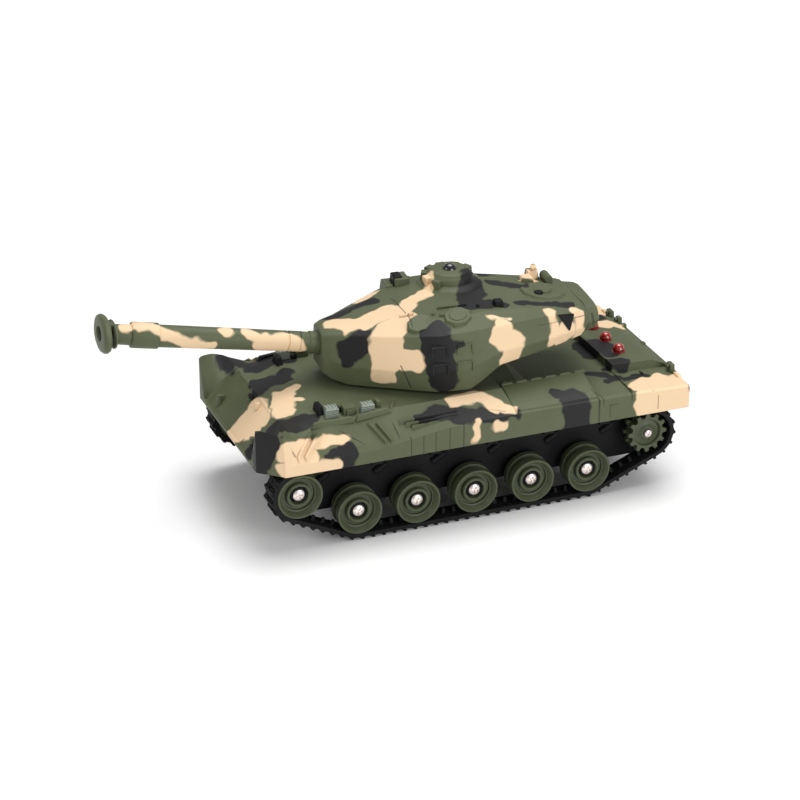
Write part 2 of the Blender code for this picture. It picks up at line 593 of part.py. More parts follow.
def build_turret_drive():
    top = DECK_Z - WALL - 2 * GAP
    low = top - RING_GEAR_HEIGHT
    tooth = 1.4 * MM
    ring = add("turret_ring_gear", gear_mesh("turret_ring_gear", RING_GEAR_TEETH, RING_GEAR_RADIUS,
                                             RING_GEAR_RADIUS - tooth, low, top, 0), WHITE_PLASTIC, parent=turret)
    cut(ring, cylinder_mesh("ring_gear_bore", TURRET_RING_RADIUS - 5 * MM, low - MM, top + MM, segments=32), turret)
    radius = RING_GEAR_RADIUS * PINION_TEETH / RING_GEAR_TEETH
    apart = RING_GEAR_RADIUS + radius - 0.7 * tooth
    half_tooth = math.pi / PINION_TEETH
    axis = empty("turret_pinion_axis", (TURRET_X + apart, 0, 0), (0, 0, half_tooth), tank)
    pinion = add("turret_pinion", gear_mesh("turret_pinion", PINION_TEETH, radius, radius - tooth, low, top, 0),
                 WHITE_PLASTIC, parent=axis)
    cut(pinion, cylinder_mesh("pinion_bore", 1 * MM + RUNNING_GAP, low - MM, top + MM, segments=12), axis)
    motor = turned("turret_motor", [(0, low + 1.5 * MM), (1 * MM, low + 1.5 * MM), (1 * MM, low - 1 * MM),
                                    (8 * MM, low - 1 * MM), (8 * MM, low - 24 * MM), (0, low - 24 * MM)],
                   STEEL, axis, 24)
    return motor


def build_cupola():
    x, y = CUPOLA_AT
    low = ROOF_Z - 2.5 * MM
    cupola = turned("cupola", [(0, low + CUPOLA_HEIGHT), (11 * MM, low + CUPOLA_HEIGHT - 0.4 * MM),
                               (12 * MM, low + CUPOLA_HEIGHT - 1.5 * MM), (13.5 * MM, low + 7 * MM),
                               (17 * MM, low + 5 * MM), (CUPOLA_RADIUS - 1 * MM, low + 3 * MM),
                               (CUPOLA_RADIUS - 1 * MM, low - 1.8 * MM), (0, low - 1.8 * MM)], OLIVE, turret, 32)
    cupola.location = (x, y, 0)
    seat = cylinder_mesh("cupola_seat", CUPOLA_RADIUS - 1 * MM + GAP, low - 2.1 * MM, ROOF_Z + 5 * MM,
                         segments=32, at=(x, y))
    eye = turned("infrared_receiver", [(0, 2.6 * MM), (1.8 * MM, 2.3 * MM), (3.0 * MM, 1.2 * MM), (3.2 * MM, 0), (0, 0)], BLACK, turret, 16)
    eye.location = (x, y, low + CUPOLA_HEIGHT + GAP)
    return seat


# ---------------------------------------------------------------- gun
def along_barrel(piece):
    """Lays a turned piece along the gun's axis, its Z axis pointing to the muzzle."""
    piece.rotation_euler = (0, math.radians(90), 0)


def build_gun():
    """Mantlet on its trunnions, barrel, muzzle brake and the infrared emitter in the bore."""
    half = MANTLET_WIDTH / 2
    mantlet = turned("mantlet", [(0, half), (MANTLET_RADIUS - 1 * MM, half), (MANTLET_RADIUS, half - 1 * MM),
                                 (MANTLET_RADIUS, 1 * MM - half), (MANTLET_RADIUS - 1 * MM, -half), (0, -half)], OLIVE, gun, 32)
    mantlet.rotation_euler = (math.radians(-90), 0, 0)
    socket = cylinder_mesh("barrel_socket", 5.4 * MM + GAP, 3 * MM, 20 * MM, "X", 24)
    cut(mantlet, socket, gun)

    brake_rear = GUN_REACH - BRAKE_LENGTH
    sleeve_front = brake_rear - NECK_LENGTH
    sleeve_rear = sleeve_front - SLEEVE_LENGTH
    neck = BARREL_RADIUS - 0.6 * MM
    barrel = turned("gun_barrel", [
        (BORE_RADIUS, brake_rear - GAP), (neck, brake_rear - GAP), (neck, sleeve_front),
        (BARREL_RADIUS + 1 * MM, sleeve_front - 0.4 * MM), (BARREL_RADIUS + 1 * MM, sleeve_rear),
        (BARREL_RADIUS, sleeve_rear - 0.4 * MM), (5.5 * MM, 16 * MM), (5.4 * MM, 15 * MM), (5.4 * MM, 3.4 * MM),
        (BORE_RADIUS, 3.4 * MM)], OLIVE, gun, 24)
    along_barrel(barrel)

    emitter = turned("infrared_emitter", [(0, 5 * MM), (1.6 * MM, 4.4 * MM), (2.5 * MM, 2.8 * MM), (2.5 * MM, 0), (0, 0)],
                     BLACK, gun, 16)
    along_barrel(emitter)
    emitter.location = (GUN_REACH - 7 * MM, 0, 0)

    # The brake is a wide oval cross-piece: bored for the barrel, with a port through to each side.
    plate = cylinder_mesh("muzzle_brake", 0.5, brake_rear, GUN_REACH, "X", 32)
    plate.transform(Matrix.Diagonal((1, BRAKE_WIDTH, BRAKE_HEIGHT, 1)))
    brake = add("muzzle_brake", plate, OLIVE, parent=gun)
    cut(brake, cylinder_mesh("muzzle_bore", BORE_RADIUS, brake_rear - MM, GUN_REACH + MM, "X", 24), gun)
    for side_name, side in SIDES:
        low, high = sorted((side * (BORE_RADIUS + 2 * MM), side * BRAKE_WIDTH))
        port = box_mesh("brake_port_" + side_name, (brake_rear + 2 * MM, low, -2.2 * MM),
                        (GUN_REACH - 2 * MM, high, 2.2 * MM))
        cut(brake, port, gun)


# ---------------------------------------------------------------- electrics and drive inside
def build_inside():
    length, width, height = BATTERY_SIZE
    floor = BELLY_Z + WALL + 1 * MM
    battery = add("battery_pack", box_mesh("battery_pack", (BATTERY_X - length / 2, -width / 2, floor),
                                           (BATTERY_X + length / 2, width / 2, floor + height)), BATTERY_BLUE, parent=tank)
    door_length, door_width = DOOR_SIZE
    hinge_x = BATTERY_X + door_length / 2 - DOOR_HINGE_INSET
    hinge = empty("battery_door_hinge", (hinge_x, 0, BELLY_Z + 0.8 * MM), parent=tank)
    door = box_mesh("battery_door", (DOOR_HINGE_INSET - door_length, -door_width / 2, -0.8 * MM),
                    (DOOR_HINGE_INSET, door_width / 2, 0.8 * MM))
    add("battery_door", door, BLACK, parent=hinge)

    switch = box_mesh("power_switch", (SWITCH_X - 4 * MM, -2 * MM, BELLY_Z + 0.2 * MM),
                      (SWITCH_X + 4 * MM, 2 * MM, BELLY_Z + WALL + 1 * MM))
    add("power_switch", switch, WHITE_PLASTIC, parent=tank)
    body = box_mesh("switch_body", (SWITCH_X - 7 * MM, -4 * MM, BELLY_Z + WALL + 1.4 * MM),
                    (SWITCH_X + 7 * MM + SWITCH_TRAVEL, 4 * MM, BELLY_Z + WALL + 7 * MM))
    add("switch_body", body, STEEL, parent=tank)

    board = box_mesh("control_board", (-22 * MM, -26 * MM, 27 * MM), (18 * MM, 26 * MM, 28.6 * MM))
    add("control_board", board, BOARD_GREEN, parent=tank)
    speaker = turned("speaker", [(0, 0), (14 * MM, 0), (14 * MM, -2 * MM), (7 * MM, -6 * MM), (0, -6 * MM)],
                     BLACK, tank, 24)
    speaker.location = (51 * MM, 0, BELLY_Z + WALL + 8 * MM)

    half = TUB_WIDTH / 2 - WALL
    for side_name, side in SIDES:
        low, high = sorted((side * 3 * MM, side * (half - 1 * MM)))
        box = add("gearbox_" + side_name, box_mesh("gearbox_" + side_name, (SPROCKET_X - 7 * MM, low, SPROCKET_Z - 6 * MM),
                                                  (SPROCKET_X + 12 * MM, high, SPROCKET_Z + 12 * MM)), WHITE_PLASTIC,
                  parent=tank)
        cut(box, cylinder_mesh("gearbox_bore_" + side_name, AXLE_RADIUS + RUNNING_GAP, low - MM, high + MM, "Y", 16,
                               (SPROCKET_X, SPROCKET_Z)), tank)
        motor = turned("drive_motor_" + side_name, [(0, 25 * MM), (MOTOR_RADIUS, 25 * MM), (MOTOR_RADIUS, 0), (0, 0)],
                       STEEL, tank, 24)
        motor.location = (SPROCKET_X + 12 * MM + GAP + MOTOR_RADIUS, side * 5 * MM, BELLY_Z + 21 * MM + MOTOR_RADIUS)
        motor.rotation_euler = (math.radians(-90 * side), 0, 0)


def build_leds():
    for number in range(3):
        y = (1 - number) * LED_PITCH
        led = turned("life_led_%d" % (number + 1), [(0, 4.8 * MM), (1.4 * MM, 4.4 * MM), (2.2 * MM, 3.4 * MM),
                                                    (LED_RADIUS, 2 * MM), (LED_RADIUS, -1.5 * MM), (0, -1.5 * MM)],
                     RED, tank, 16)
        led.location = (LED_X, y, 63.5 * MM)


build_upper_hull()
build_lower_hull()
build_wheels()
build_sprockets()
build_tracks()
turret_shell = build_turret_shell()
build_turret_base()
build_turret_drive()
cut(turret_shell, build_cupola(), turret)
build_gun()
build_inside()
build_leds()
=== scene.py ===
import json
import math

import bmesh
import bpy
from mathutils import Matrix, Vector


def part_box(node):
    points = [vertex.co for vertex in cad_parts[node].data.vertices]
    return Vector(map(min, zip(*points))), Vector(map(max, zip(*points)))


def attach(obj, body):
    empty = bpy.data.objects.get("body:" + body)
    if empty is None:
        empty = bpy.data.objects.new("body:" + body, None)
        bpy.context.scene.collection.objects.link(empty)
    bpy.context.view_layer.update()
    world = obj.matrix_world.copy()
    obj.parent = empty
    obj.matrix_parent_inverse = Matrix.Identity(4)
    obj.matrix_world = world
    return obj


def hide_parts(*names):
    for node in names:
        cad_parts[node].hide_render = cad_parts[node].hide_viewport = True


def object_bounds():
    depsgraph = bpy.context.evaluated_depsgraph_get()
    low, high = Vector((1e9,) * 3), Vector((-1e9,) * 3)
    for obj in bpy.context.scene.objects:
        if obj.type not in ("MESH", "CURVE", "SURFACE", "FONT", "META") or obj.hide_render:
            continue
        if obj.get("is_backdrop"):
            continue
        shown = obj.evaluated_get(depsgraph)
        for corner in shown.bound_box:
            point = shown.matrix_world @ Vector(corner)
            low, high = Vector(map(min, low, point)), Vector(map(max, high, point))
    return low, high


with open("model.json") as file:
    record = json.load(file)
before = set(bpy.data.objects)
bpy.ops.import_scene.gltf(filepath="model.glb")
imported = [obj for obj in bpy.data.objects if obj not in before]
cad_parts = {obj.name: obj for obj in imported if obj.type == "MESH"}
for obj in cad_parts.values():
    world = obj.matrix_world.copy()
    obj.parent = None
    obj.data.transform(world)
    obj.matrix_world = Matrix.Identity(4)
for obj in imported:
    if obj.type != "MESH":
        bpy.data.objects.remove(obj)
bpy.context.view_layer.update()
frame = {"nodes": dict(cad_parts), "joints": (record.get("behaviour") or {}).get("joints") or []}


# ---- Upper hull -----------------------------------------------------------------------------
# One injection-moulded cover in camouflaged plastic: nose scoop, deck, fenders and side skirts,
# clipped down over the tub. Everything is laid out in millimetres of the hull's own drawing and
# set into the frame by one matrix, measured from the solid of the same name.
MM = 0.001
HULL_REAR = -139.0
HULL_NOSE = 108.0
HULL = Matrix.Translation((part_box("upper_hull")[0].x - HULL_REAR * MM, 0, 0)) @ Matrix.Scale(MM, 4)
HALF_WIDTH = (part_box("upper_hull")[1].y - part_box("upper_hull")[0].y) / 2 / MM
SKIRT_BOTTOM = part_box("upper_hull")[0].z / MM
SKIN = 2.2
DECK = 68.4
RECESS = 61.8


class Signal:
    """One output socket of a finish; arithmetic on it adds Math nodes."""

    def __init__(self, finish, socket):
        self.finish = finish
        self.socket = socket

    def __add__(self, other):
        return self.finish.maths("ADD", self, other)

    def __radd__(self, other):
        return self.finish.maths("ADD", other, self)

    def __sub__(self, other):
        return self.finish.maths("SUBTRACT", self, other)

    def __rsub__(self, other):
        return self.finish.maths("SUBTRACT", other, self)

    def __mul__(self, other):
        return self.finish.maths("MULTIPLY", self, other)

    def __rmul__(self, other):
        return self.finish.maths("MULTIPLY", other, self)


class Finish:
    """A material in the making, with its Principled shader's fixed values set by name."""

    def __init__(self, name, **fixed):
        self.material = bpy.data.materials.new(name)
        self.material.use_nodes = True
        self.tree = self.material.node_tree
        self.shader = self.tree.nodes["Principled BSDF"]
        for socket, value in fixed.items():
            self.shader.inputs[socket.replace("_", " ")].default_value = value

    def node(self, kind, settings, inputs, output=0):
        made = self.tree.nodes.new(kind)
        for name, value in settings.items():
            if name == "stops":
                ramp = made.color_ramp
                ramp.elements[0].position, ramp.elements[0].color = value[0]
                ramp.elements[1].position, ramp.elements[1].color = value[-1]
                for position, colour in value[1:-1]:
                    ramp.elements.new(position).color = colour
            else:
                setattr(made, name, value)
        for key, value in inputs.items():
            if isinstance(value, Signal):
                self.tree.links.new(value.socket, made.inputs[key])
            else:
                made.inputs[key].default_value = value
        return Signal(self, made.outputs[output])

    def maths(self, operation, *values, clamp=False):
        return self.node("ShaderNodeMath", {"operation": operation, "use_clamp": clamp},
                         dict(enumerate(values)))

    def vector(self, operation, *values, output=0):
        return self.node("ShaderNodeVectorMath", {"operation": operation}, dict(enumerate(values)), output)

    def blend(self, share, first, second):
        """Colours mixed by a share from 0 to 1."""
        return self.node("ShaderNodeMix", {"data_type": "RGBA", "clamp_factor": True},
                         {0: share, 6: first, 7: second}, 2)

    def noise(self, place, scale, detail=3.0, roughness=0.5, output=0):
        return self.node("ShaderNodeTexNoise", {},
                         {"Vector": place, "Scale": scale, "Detail": detail, "Roughness": roughness}, output)

    def place(self):
        """The place on the resting tank, in millimetres of the hull's drawing."""
        spot = self.node("ShaderNodeTexCoord", {}, {}, 3)
        return self.node("ShaderNodeMapping", {}, {"Vector": spot, "Scale": (1 / MM,) * 3,
                                                   "Location": tuple(-HULL.translation / MM)})

    def axes(self, vector):
        split = self.node("ShaderNodeSeparateXYZ", {}, {"Vector": vector})
        outputs = split.socket.node.outputs
        return [Signal(self, outputs[i]) for i in range(3)]

    def set(self, socket, signal):
        self.tree.links.new(signal.socket, self.shader.inputs[socket])

    def relief(self, height, distance, strength=1.0):
        """A height in the range 0 to 1 made into a bump this many millimetres deep."""
        bump = self.node("ShaderNodeBump", {},
                         {"Height": height, "Distance": distance * MM, "Strength": strength})
        self.set("Normal", bump)


def shaped(bm, name, into, body, finish, stands_for=(), smooth=35.0,
           bevel=0.0, steps=2):
    """Puts a finished bmesh into the frame as a piece that rides on a body."""
    bmesh.ops.transform(bm, matrix=into, verts=bm.verts)
    bmesh.ops.recalc_face_normals(bm, faces=bm.faces)
    mesh = bpy.data.meshes.new(name)
    bm.to_mesh(mesh)
    bm.free()
    mesh.materials.append(finish.material)
    mesh.shade_smooth()
    mesh.set_sharp_from_angle(angle=math.radians(smooth))
    piece = bpy.data.objects.new(name, mesh)
    bpy.context.scene.collection.objects.link(piece)
    if bevel:
        rounding = piece.modifiers.new("rounding", "BEVEL")
        rounding.width = bevel * MM
        rounding.segments = steps
        rounding.limit_method = "ANGLE"
        rounding.angle_limit = math.radians(smooth)
        rounding.harden_normals = False
    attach(piece, body)
    if stands_for:
        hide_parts(*stands_for)
    return piece


def skin(bm, rings):
    """A closed body through rings of equal point counts, from a grid whose side edges meet."""
    count = len(rings[0])
    made = bmesh.ops.create_grid(bm, x_segments=count, y_segments=len(rings) - 1, size=1)["verts"]
    spots = [Vector(spot) for ring in rings for spot in (*ring, ring[0])]
    for vert, spot in zip(made, spots):
        vert.co = spot
    bmesh.ops.remove_doubles(bm, verts=made, dist=0.002)
    edge = [e for e in bm.edges if e.is_boundary]
    bmesh.ops.holes_fill(bm, edges=edge, sides=0)
    return bm


def block(bm, low, high, taper=1.0, matrix=Matrix()):
    """A box between two corners; taper shrinks its top."""
    made = bmesh.ops.create_cube(bm, size=1)["verts"]
    middle = (Vector(low) + Vector(high)) / 2
    size = Vector(high) - Vector(low)
    for vert in made:
        narrow = taper if vert.co.z > 0 else 1.0
        vert.co = matrix @ (middle + Vector((vert.co.x * size.x * narrow, vert.co.y * size.y * narrow,
                                             vert.co.z * size.z)))
    return made


def rod(bm, start, end, radius, end_radius=None, segments=16):
    """A round bar between two places."""
    start, end = Vector(start), Vector(end)
    reach = end - start
    turn = reach.to_track_quat("Z", "Y").to_matrix().to_4x4()
    return bmesh.ops.create_cone(bm, cap_ends=True, segments=segments, radius1=radius,
                                 radius2=radius if end_radius is None else end_radius, depth=reach.length,
                                 matrix=Matrix.Translation((start + end) / 2) @ turn)["verts"]


def both_sides(ring_half):
    return ring_half + [(x, -y, z) for x, y, z in reversed(ring_half) if abs(y) > 1e-6]


def hull_ring(x, corner, skirt_top, ridge, edge, floor, middle, hollow=True):
    """Outer path over the top from skirt to skirt, then back along the inside."""
    outer = [(corner, SKIRT_BOTTOM), (corner, skirt_top), ridge, edge, floor, (0.0, middle)]
    inner = []
    for number, (y, z) in enumerate(outer):
        inset = 3.0 if number < 3 else 0.6 if y else 0.0
        depth = z - SKIN if hollow and number else SKIRT_BOTTOM
        inner.append((y - inset, max(depth, SKIRT_BOTTOM)))
    over = both_sides([(x, y, z) for y, z in outer])
    under = both_sides([(x, y, z) for y, z in inner])
    return over + under[::-1]


# x, skirt's y and top z, ridge (y, z), edge (y, z), floor (y, z), z at the middle, hollow or solid
HULL_STATIONS = (
    (HULL_NOSE, 48.6, 50.0, (48.4, 71.0), (40.4, 49.4), (38.6, 48.4), 48.4, False),
    (106.4, 50.0, 50.4, (49.6, 71.4), (40.4, 49.8), (38.7, 48.7), 48.7, False),
    (104.0, 52.1, 50.8, (51.4, 71.0), (40.6, 52.6), (38.8, 51.1), 51.1, False),
    (100.0, 55.6, 51.5, (54.0, 70.0), (40.8, 56.6), (38.8, 55.0), 55.0, False),
    (97.0, 58.3, 51.9, (55.8, 68.8), (40.6, 59.6), (38.6, 57.9), 57.9, False),
    (95.6, HALF_WIDTH, 52.2, (56.8, 68.0), (40.2, 61.0), (38.0, 59.3), 59.3, True),
    (92.0, HALF_WIDTH, 52.4, (55.9, 67.2), (37.8, 64.2), (35.2, 62.7), 62.7, True),
    (89.2, HALF_WIDTH, 52.5, (54.2, 66.2), (34.6, 66.5), (31.0, 65.4), 65.4, True),
    (84.0, HALF_WIDTH, 52.7, (52.0, 64.8), (38.0, 66.4), (33.0, 66.1), 66.1, True),
    (80.0, HALF_WIDTH, 52.8, (50.0, 64.0), (40.0, 65.8), (36.0, 66.6), 66.6, True),
    (75.5, HALF_WIDTH, 53.0, (44.0, 65.6), (40.4, 66.4), (38.0, 67.0), 67.0, True),
    (67.0, HALF_WIDTH, 53.3, (45.6, 66.8), (40.6, 67.6), (34.0, 68.3), 68.3, True),
    (50.0, HALF_WIDTH, 53.6, (46.0, 66.2), (42.0, 67.2), (30.0, DECK), DECK, True),
    (37.0, HALF_WIDTH, 55.0, (45.8, 67.4), (42.4, DECK), (30.0, DECK), DECK, True),
    (30.0, HALF_WIDTH, 55.6, (44.6, 68.9), (42.6, DECK), (30.0, DECK), DECK, True),
    (4.0, HALF_WIDTH, 59.4, (44.4, 69.0), (42.6, DECK), (30.0, DECK), DECK, True),
    (-12.0, HALF_WIDTH, 60.3, (44.0, 69.0), (42.6, DECK), (30.0, DECK), DECK, True),
    (-34.0, HALF_WIDTH, 60.3, (43.0, 68.8), (41.0, DECK), (30.0, DECK), DECK, True),
    (-36.0, HALF_WIDTH, 60.3, (58.4, 61.2), (38.0, RECESS), (36.0, RECESS + 0.1), DECK, True),
    (-50.0, HALF_WIDTH, 60.2, (58.4, 61.2), (36.0, RECESS), (34.0, RECESS + 0.1), DECK, True),
    (-56.0, HALF_WIDTH, 60.2, (58.4, 61.2), (36.0, RECESS), (34.0, RECESS + 0.1), RECESS + 0.1, True),
    (-84.0, HALF_WIDTH, 60.1, (58.4, 61.1), (36.0, RECESS), (34.0, RECESS + 0.1), RECESS + 0.1, True),
    (-104.8, HALF_WIDTH, 59.9, (58.4, 60.9), (36.0, 61.6), (34.0, RECESS), RECESS, True),
    (-128.0, HALF_WIDTH, 59.3, (58.4, 60.3), (36.0, 60.9), (34.0, 61.0), 61.0, True),
    (-136.6, HALF_WIDTH, 58.8, (58.4, 59.9), (36.0, 60.0), (34.0, 60.0), 60.0, True),
    (-137.0, HALF_WIDTH, 58.8, (58.4, 59.9), (36.0, 60.0), (34.0, 60.0), 60.0, False),
    (HULL_REAR, HALF_WIDTH, 58.6, (58.4, 59.7), (36.0, 59.8), (34.0, 59.8), 59.8, False),
)

hull_paint = Finish("hull_camouflage_front", Specular_IOR_Level=0.22)
rear_paint = Finish("hull_camouflage_rear", Specular_IOR_Level=0.22)
PAINT_CHANGE = 4.0


def two_paints(piece):
    """The faces behind the change get the rear half of the pattern."""
    piece.data.materials.append(rear_paint.material)
    line = HULL @ Vector((PAINT_CHANGE, 0, 0))
    for face in piece.data.polygons:
        face.material_index = int(face.center.x < line.x)


hull = bmesh.new()
skin(hull, [hull_ring(*station) for station in HULL_STATIONS])
two_paints(shaped(hull, "hull_cover", HULL, "hull", hull_paint, ("upper_hull",), smooth=24, bevel=0.55))

# ---- Fittings on the hull -------------------------------------------------------------------
# Moulded details of the cover: ribs on the front fenders, louvred stowage on both sides of the
# turret's nose, fender boxes with their catches, tow lugs and the raised engine deck.
fittings = bmesh.new()
for side in (1, -1):
    for start, end, width, height in (
            ((88.5, 59.6, 53.6), (76.5, 48.0, 64.2), 1.7, 2.6),
            ((84.5, 59.6, 53.6), (71.5, 49.0, 64.0), 1.7, 2.4),
            ((46.0, 48.5, 65.0), (38.5, 59.5, 55.6), 1.3, 1.3),
            ((41.5, 49.0, 64.6), (35.2, 59.5, 55.8), 1.3, 1.3),
            ((76.5, 44.8, 66.2), (52.0, 46.6, 67.4), 2.2, 1.8),
            ((52.0, 46.6, 67.4), (31.0, 45.6, 68.8), 2.2, 1.6),
            ((31.0, 45.6, 68.8), (26.0, 36.0, 69.0), 1.4, 0.8)):
        start = Vector((start[0], side * start[1], start[2]))
        end = Vector((end[0], side * end[1], end[2]))
        reach = end - start
        turn = reach.to_track_quat("X", "Z").to_matrix().to_4x4()
        place = Matrix.Translation((start + end) / 2) @ turn
        half = reach.length / 2
        block(fittings, (-half, -width / 2, -1.6), (half, width / 2, height), 0.8, place)
    block(fittings, (48.5, side * 38.2 - 3.2, 66.0), (56.5, side * 38.2 + 3.2, 71.6), 0.86)
    block(fittings, (50.0, side * 41.6 - 0.5, 67.0), (55.0, side * 41.6 + 0.5, 70.4), 0.8)
    block(fittings, (34.5, side * 38.0 - 3.0, 67.0), (37.4, side * 38.0 + 3.0, 71.8), 0.8)
    block(fittings, (91.0, side * 6.0 - 1.2, 62.0), (94.0, side * 6.0 + 1.2, 65.6), 0.8)
    rod(fittings, (-44.0, side * 34.0, 62.0), (-44.0, side * 34.0, 67.0), 2.2, 1.9, 20)
    for number in range(3):
        y = 52.2 + number * 1.6
        z = 62.9 - number * 1.25
        block(fittings, (-4.0, side * y - 0.3, z - 1.0), (29.0 - number * 3, side * y + 0.3, z + 1.9))
two_paints(shaped(fittings, "fender_fittings", HULL, "hull", hull_paint, smooth=30, bevel=0.3, steps=1))

louvre_grey = Finish("louvre_grey", Roughness=0.45)
place = louvre_grey.place()
worn = louvre_grey.noise(place, 0.8, 4.0)
louvre_grey.set("Base Color", louvre_grey.blend(worn, (0.16, 0.19, 0.15, 1), (0.34, 0.37, 0.32, 1)))
louvre_grey.relief(louvre_grey.noise(place, 2.6, 2.0), 0.05, 0.5)
louvres = bmesh.new()
for side in (1, -1):
    for x, y, top in ((62.5, 38.6, 72.6), (43.0, 40.6, 72.2)):
        block(louvres, (x - 3.6, side * y - 2.6, 66.0), (x + 3.6, side * y + 2.6, top), 0.88)
        for slat in range(5):
            z = 67.4 + slat * 1.05
            wall = side * (y + 2.2)
            block(louvres, (x - 3.7, wall - 0.9, z), (x + 3.7, wall + 0.9, z + 0.55), 0.95)
        for slat in range(4):
            at = x - 2.7 + slat * 1.8
            block(louvres, (at - 0.35, side * y - 2.2, top - 0.5), (at + 0.35, side * y + 2.2, top + 0.5))
shaped(louvres, "stowage_louvres", HULL, "hull", louvre_grey, smooth=30, bevel=0.15, steps=1)

BOX_OUTLINE = ((36.5, 60.5), (37.2, 68.0), (39.2, 68.2), (57.6, 62.2), (58.6, 61.6), (58.6, 60.0))
boxes = bmesh.new()
for side in (1, -1):
    skin(boxes, [[(x, side * y, z) for y, z in BOX_OUTLINE] for x in (-35.5, -84.0)])
    for number in range(6):
        at = -39.0 - number * 8.6
        block(boxes, (at - 3.4, side * 38.2 - 0.9, 67.2), (at + 3.4, side * 38.2 + 0.9, 69.0), 0.9)
    rod(boxes, (-38.5, side * 36.6, 66.6), (-38.5, side * 34.8, 66.6), 2.0)
two_paints(shaped(boxes, "fender_boxes", HULL, "hull", hull_paint, smooth=30, bevel=0.4))

engine = bmesh.new()
skin(engine, [both_sides([(x, 33.6, low), (x, 33.0, top), (x, 0.0, top)]) for x, low, top in
              ((-104.2, 60.5, 65.9), (-104.4, 60.5, 66.2), (-128.5, 59.0, 65.6), (-138.2, 57.0, 61.2))])
two_paints(shaped(engine, "engine_deck", HULL, "hull", hull_paint, smooth=25, bevel=0.5))

trim = bmesh.new()
block(trim, (-105.0, -33.5, 65.4), (-104.0, 33.5, 66.8))
for side in (1, -1):
    block(trim, (-105.5, side * 46.0 - 12.6, 60.4), (-104.3, side * 46.0 + 12.6, 61.9))
    block(trim, (-120.0, side * 37.5 - 0.5, 60.2), (-119.2, side * 37.5 + 3.5, 62.4))
    rod(trim, (103.0, side * 28.0, 50.5), (103.0, side * 28.0, 57.0), 1.9, 1.5)
    block(trim, (100.0, side * 28.0 - 1.2, 52.0), (104.5, side * 28.0 + 1.2, 56.5), 0.8)
block(trim, (-139.2, -54.0, 56.0), (-136.8, 54.0, 61.3), 0.9)
for y, height, size in ((-27.7, 65.0, 2.2), (-21.0, 63.4, 1.6), (4.0, 62.4, 1.6), (39.0, 64.6, 3.0),
                        (-39.0, 64.6, 3.0)):
    block(trim, (-139.0, y - size, 58.5), (-136.0, y + size, height), 0.85)
    rod(trim, (-138.9, y, height - 1.4), (-134.8, y, height - 1.4), 1.1)
for slat in range(9):
    y = -24.0 + slat * 6.0
    block(trim, (-136.9, y - 2.2, 60.5), (-131.0, y + 2.2, 62.0), 0.9)
two_paints(shaped(trim, "hull_trim", HULL, "hull", hull_paint, smooth=30, bevel=0.25, steps=1))


# ---- Tub and what is inside -----------------------------------------------------------------
# Black lower moulding with its stub axles, hatch and switch, and the drive parts it holds. The
# solids are already their shape and only get their finish; the mock arms and stops along the
# tub's sides are added here, and four small black blocks on the deck that are painted shade
# in a recess and a gap beside the stowage boxes.
def moulded(name, colour, roughness, grain=0.35, **fixed):
    """Plain moulded plastic: faint flow marks in the colour, fine grain in the surface."""
    finish = Finish(name, **fixed)
    place = finish.place()
    cloud = finish.noise(place, 0.06, 4.0)
    grains = finish.noise(place, 2.4, 2.0)
    light = tuple(min(1.0, c * 1.18 + 0.002) for c in colour)
    dark = tuple(c * 0.84 for c in colour)
    finish.set("Base Color", finish.blend(cloud, (*dark, 1), (*light, 1)))
    finish.set("Roughness", roughness + (cloud - 0.5) * 0.16)
    finish.relief(grains, 0.05, grain)
    return finish


black_plastic = moulded("black_tub_plastic", (0.005, 0.005, 0.006), 0.5, Specular_IOR_Level=0.14)
nylon = moulded("natural_nylon", (0.72, 0.71, 0.67), 0.42)
steel = moulded("bright_steel", (0.62, 0.58, 0.56), 0.3, 0.15, Metallic=0.9)
green_board = moulded("circuit_board", (0.02, 0.14, 0.05), 0.35)
blue_wrap = moulded("battery_wrap", (0.02, 0.06, 0.3), 0.3)
for finish, nodes in (
        (black_plastic, ("lower_hull", "battery_door", "speaker", "infrared_emitter")),
        (nylon, ("gearbox_left", "gearbox_right", "turret_ring_gear", "turret_pinion", "power_switch")),
        (steel, ("switch_body", "drive_motor_left", "drive_motor_right", "drive_shaft_left",
                 "drive_shaft_right", "turret_motor")),
        (green_board, ("control_board",)), (blue_wrap, ("battery_pack",))):
    for name in nodes:
        part = frame["nodes"][name]
        part.data.materials.clear()
        part.data.materials.append(finish.material)

FIRST_AXLE = 69.7
WHEEL_PITCH = 33.5
arms_and_deck_shade = bmesh.new()
for side in (1, -1):
    # Two black blocks each side on the deck: painted shade in the recess and the gap beside the stowage
    # boxes.
    block(arms_and_deck_shade, (65.6, side * 33.0 - 5.0, 66.0), (69.4, side * 33.0 + 5.0, 72.6), 0.7)
    block(arms_and_deck_shade, (56.4, side * 36.0 - 2.0, 66.0), (58.8, side * 36.0 + 2.0, 70.6), 0.8)
    for number in range(6):
        x = FIRST_AXLE - number * WHEEL_PITCH
        rod(arms_and_deck_shade, (x + 3.0, side * 41.2, 31.0), (x - 4.0, side * 42.2, 36.0), 2.4, 2.0, 12)
        rod(arms_and_deck_shade, (x - 6.0, side * 41.0, 40.0), (x - 6.0, side * 44.5, 40.0), 3.2, 3.2, 12)
        block(arms_and_deck_shade, (x - 2.0, side * 42.4 - 1.2, 36.0), (x + 5.0, side * 42.4 + 1.2, 41.0), 0.8)
shaped(arms_and_deck_shade, "suspension_and_deck_shade", HULL, "hull", black_plastic, bevel=0.3, steps=1)


# ---- Wheels, sprockets and screws -----------------------------------------------------------
# Olive double wheels with a dished face and a stepped ring, free on their stubs under a bright
# cross-head screw; the last wheel each side is the toothed sprocket on its drive shaft.
# The wheel's radius, and how far out the two faces of a left one stand, from its solid.
RIM = (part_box("road_wheel_1_left")[1].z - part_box("road_wheel_1_left")[0].z) / 2 / MM
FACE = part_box("road_wheel_1_left")[1].y / MM
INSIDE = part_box("road_wheel_1_left")[0].y / MM


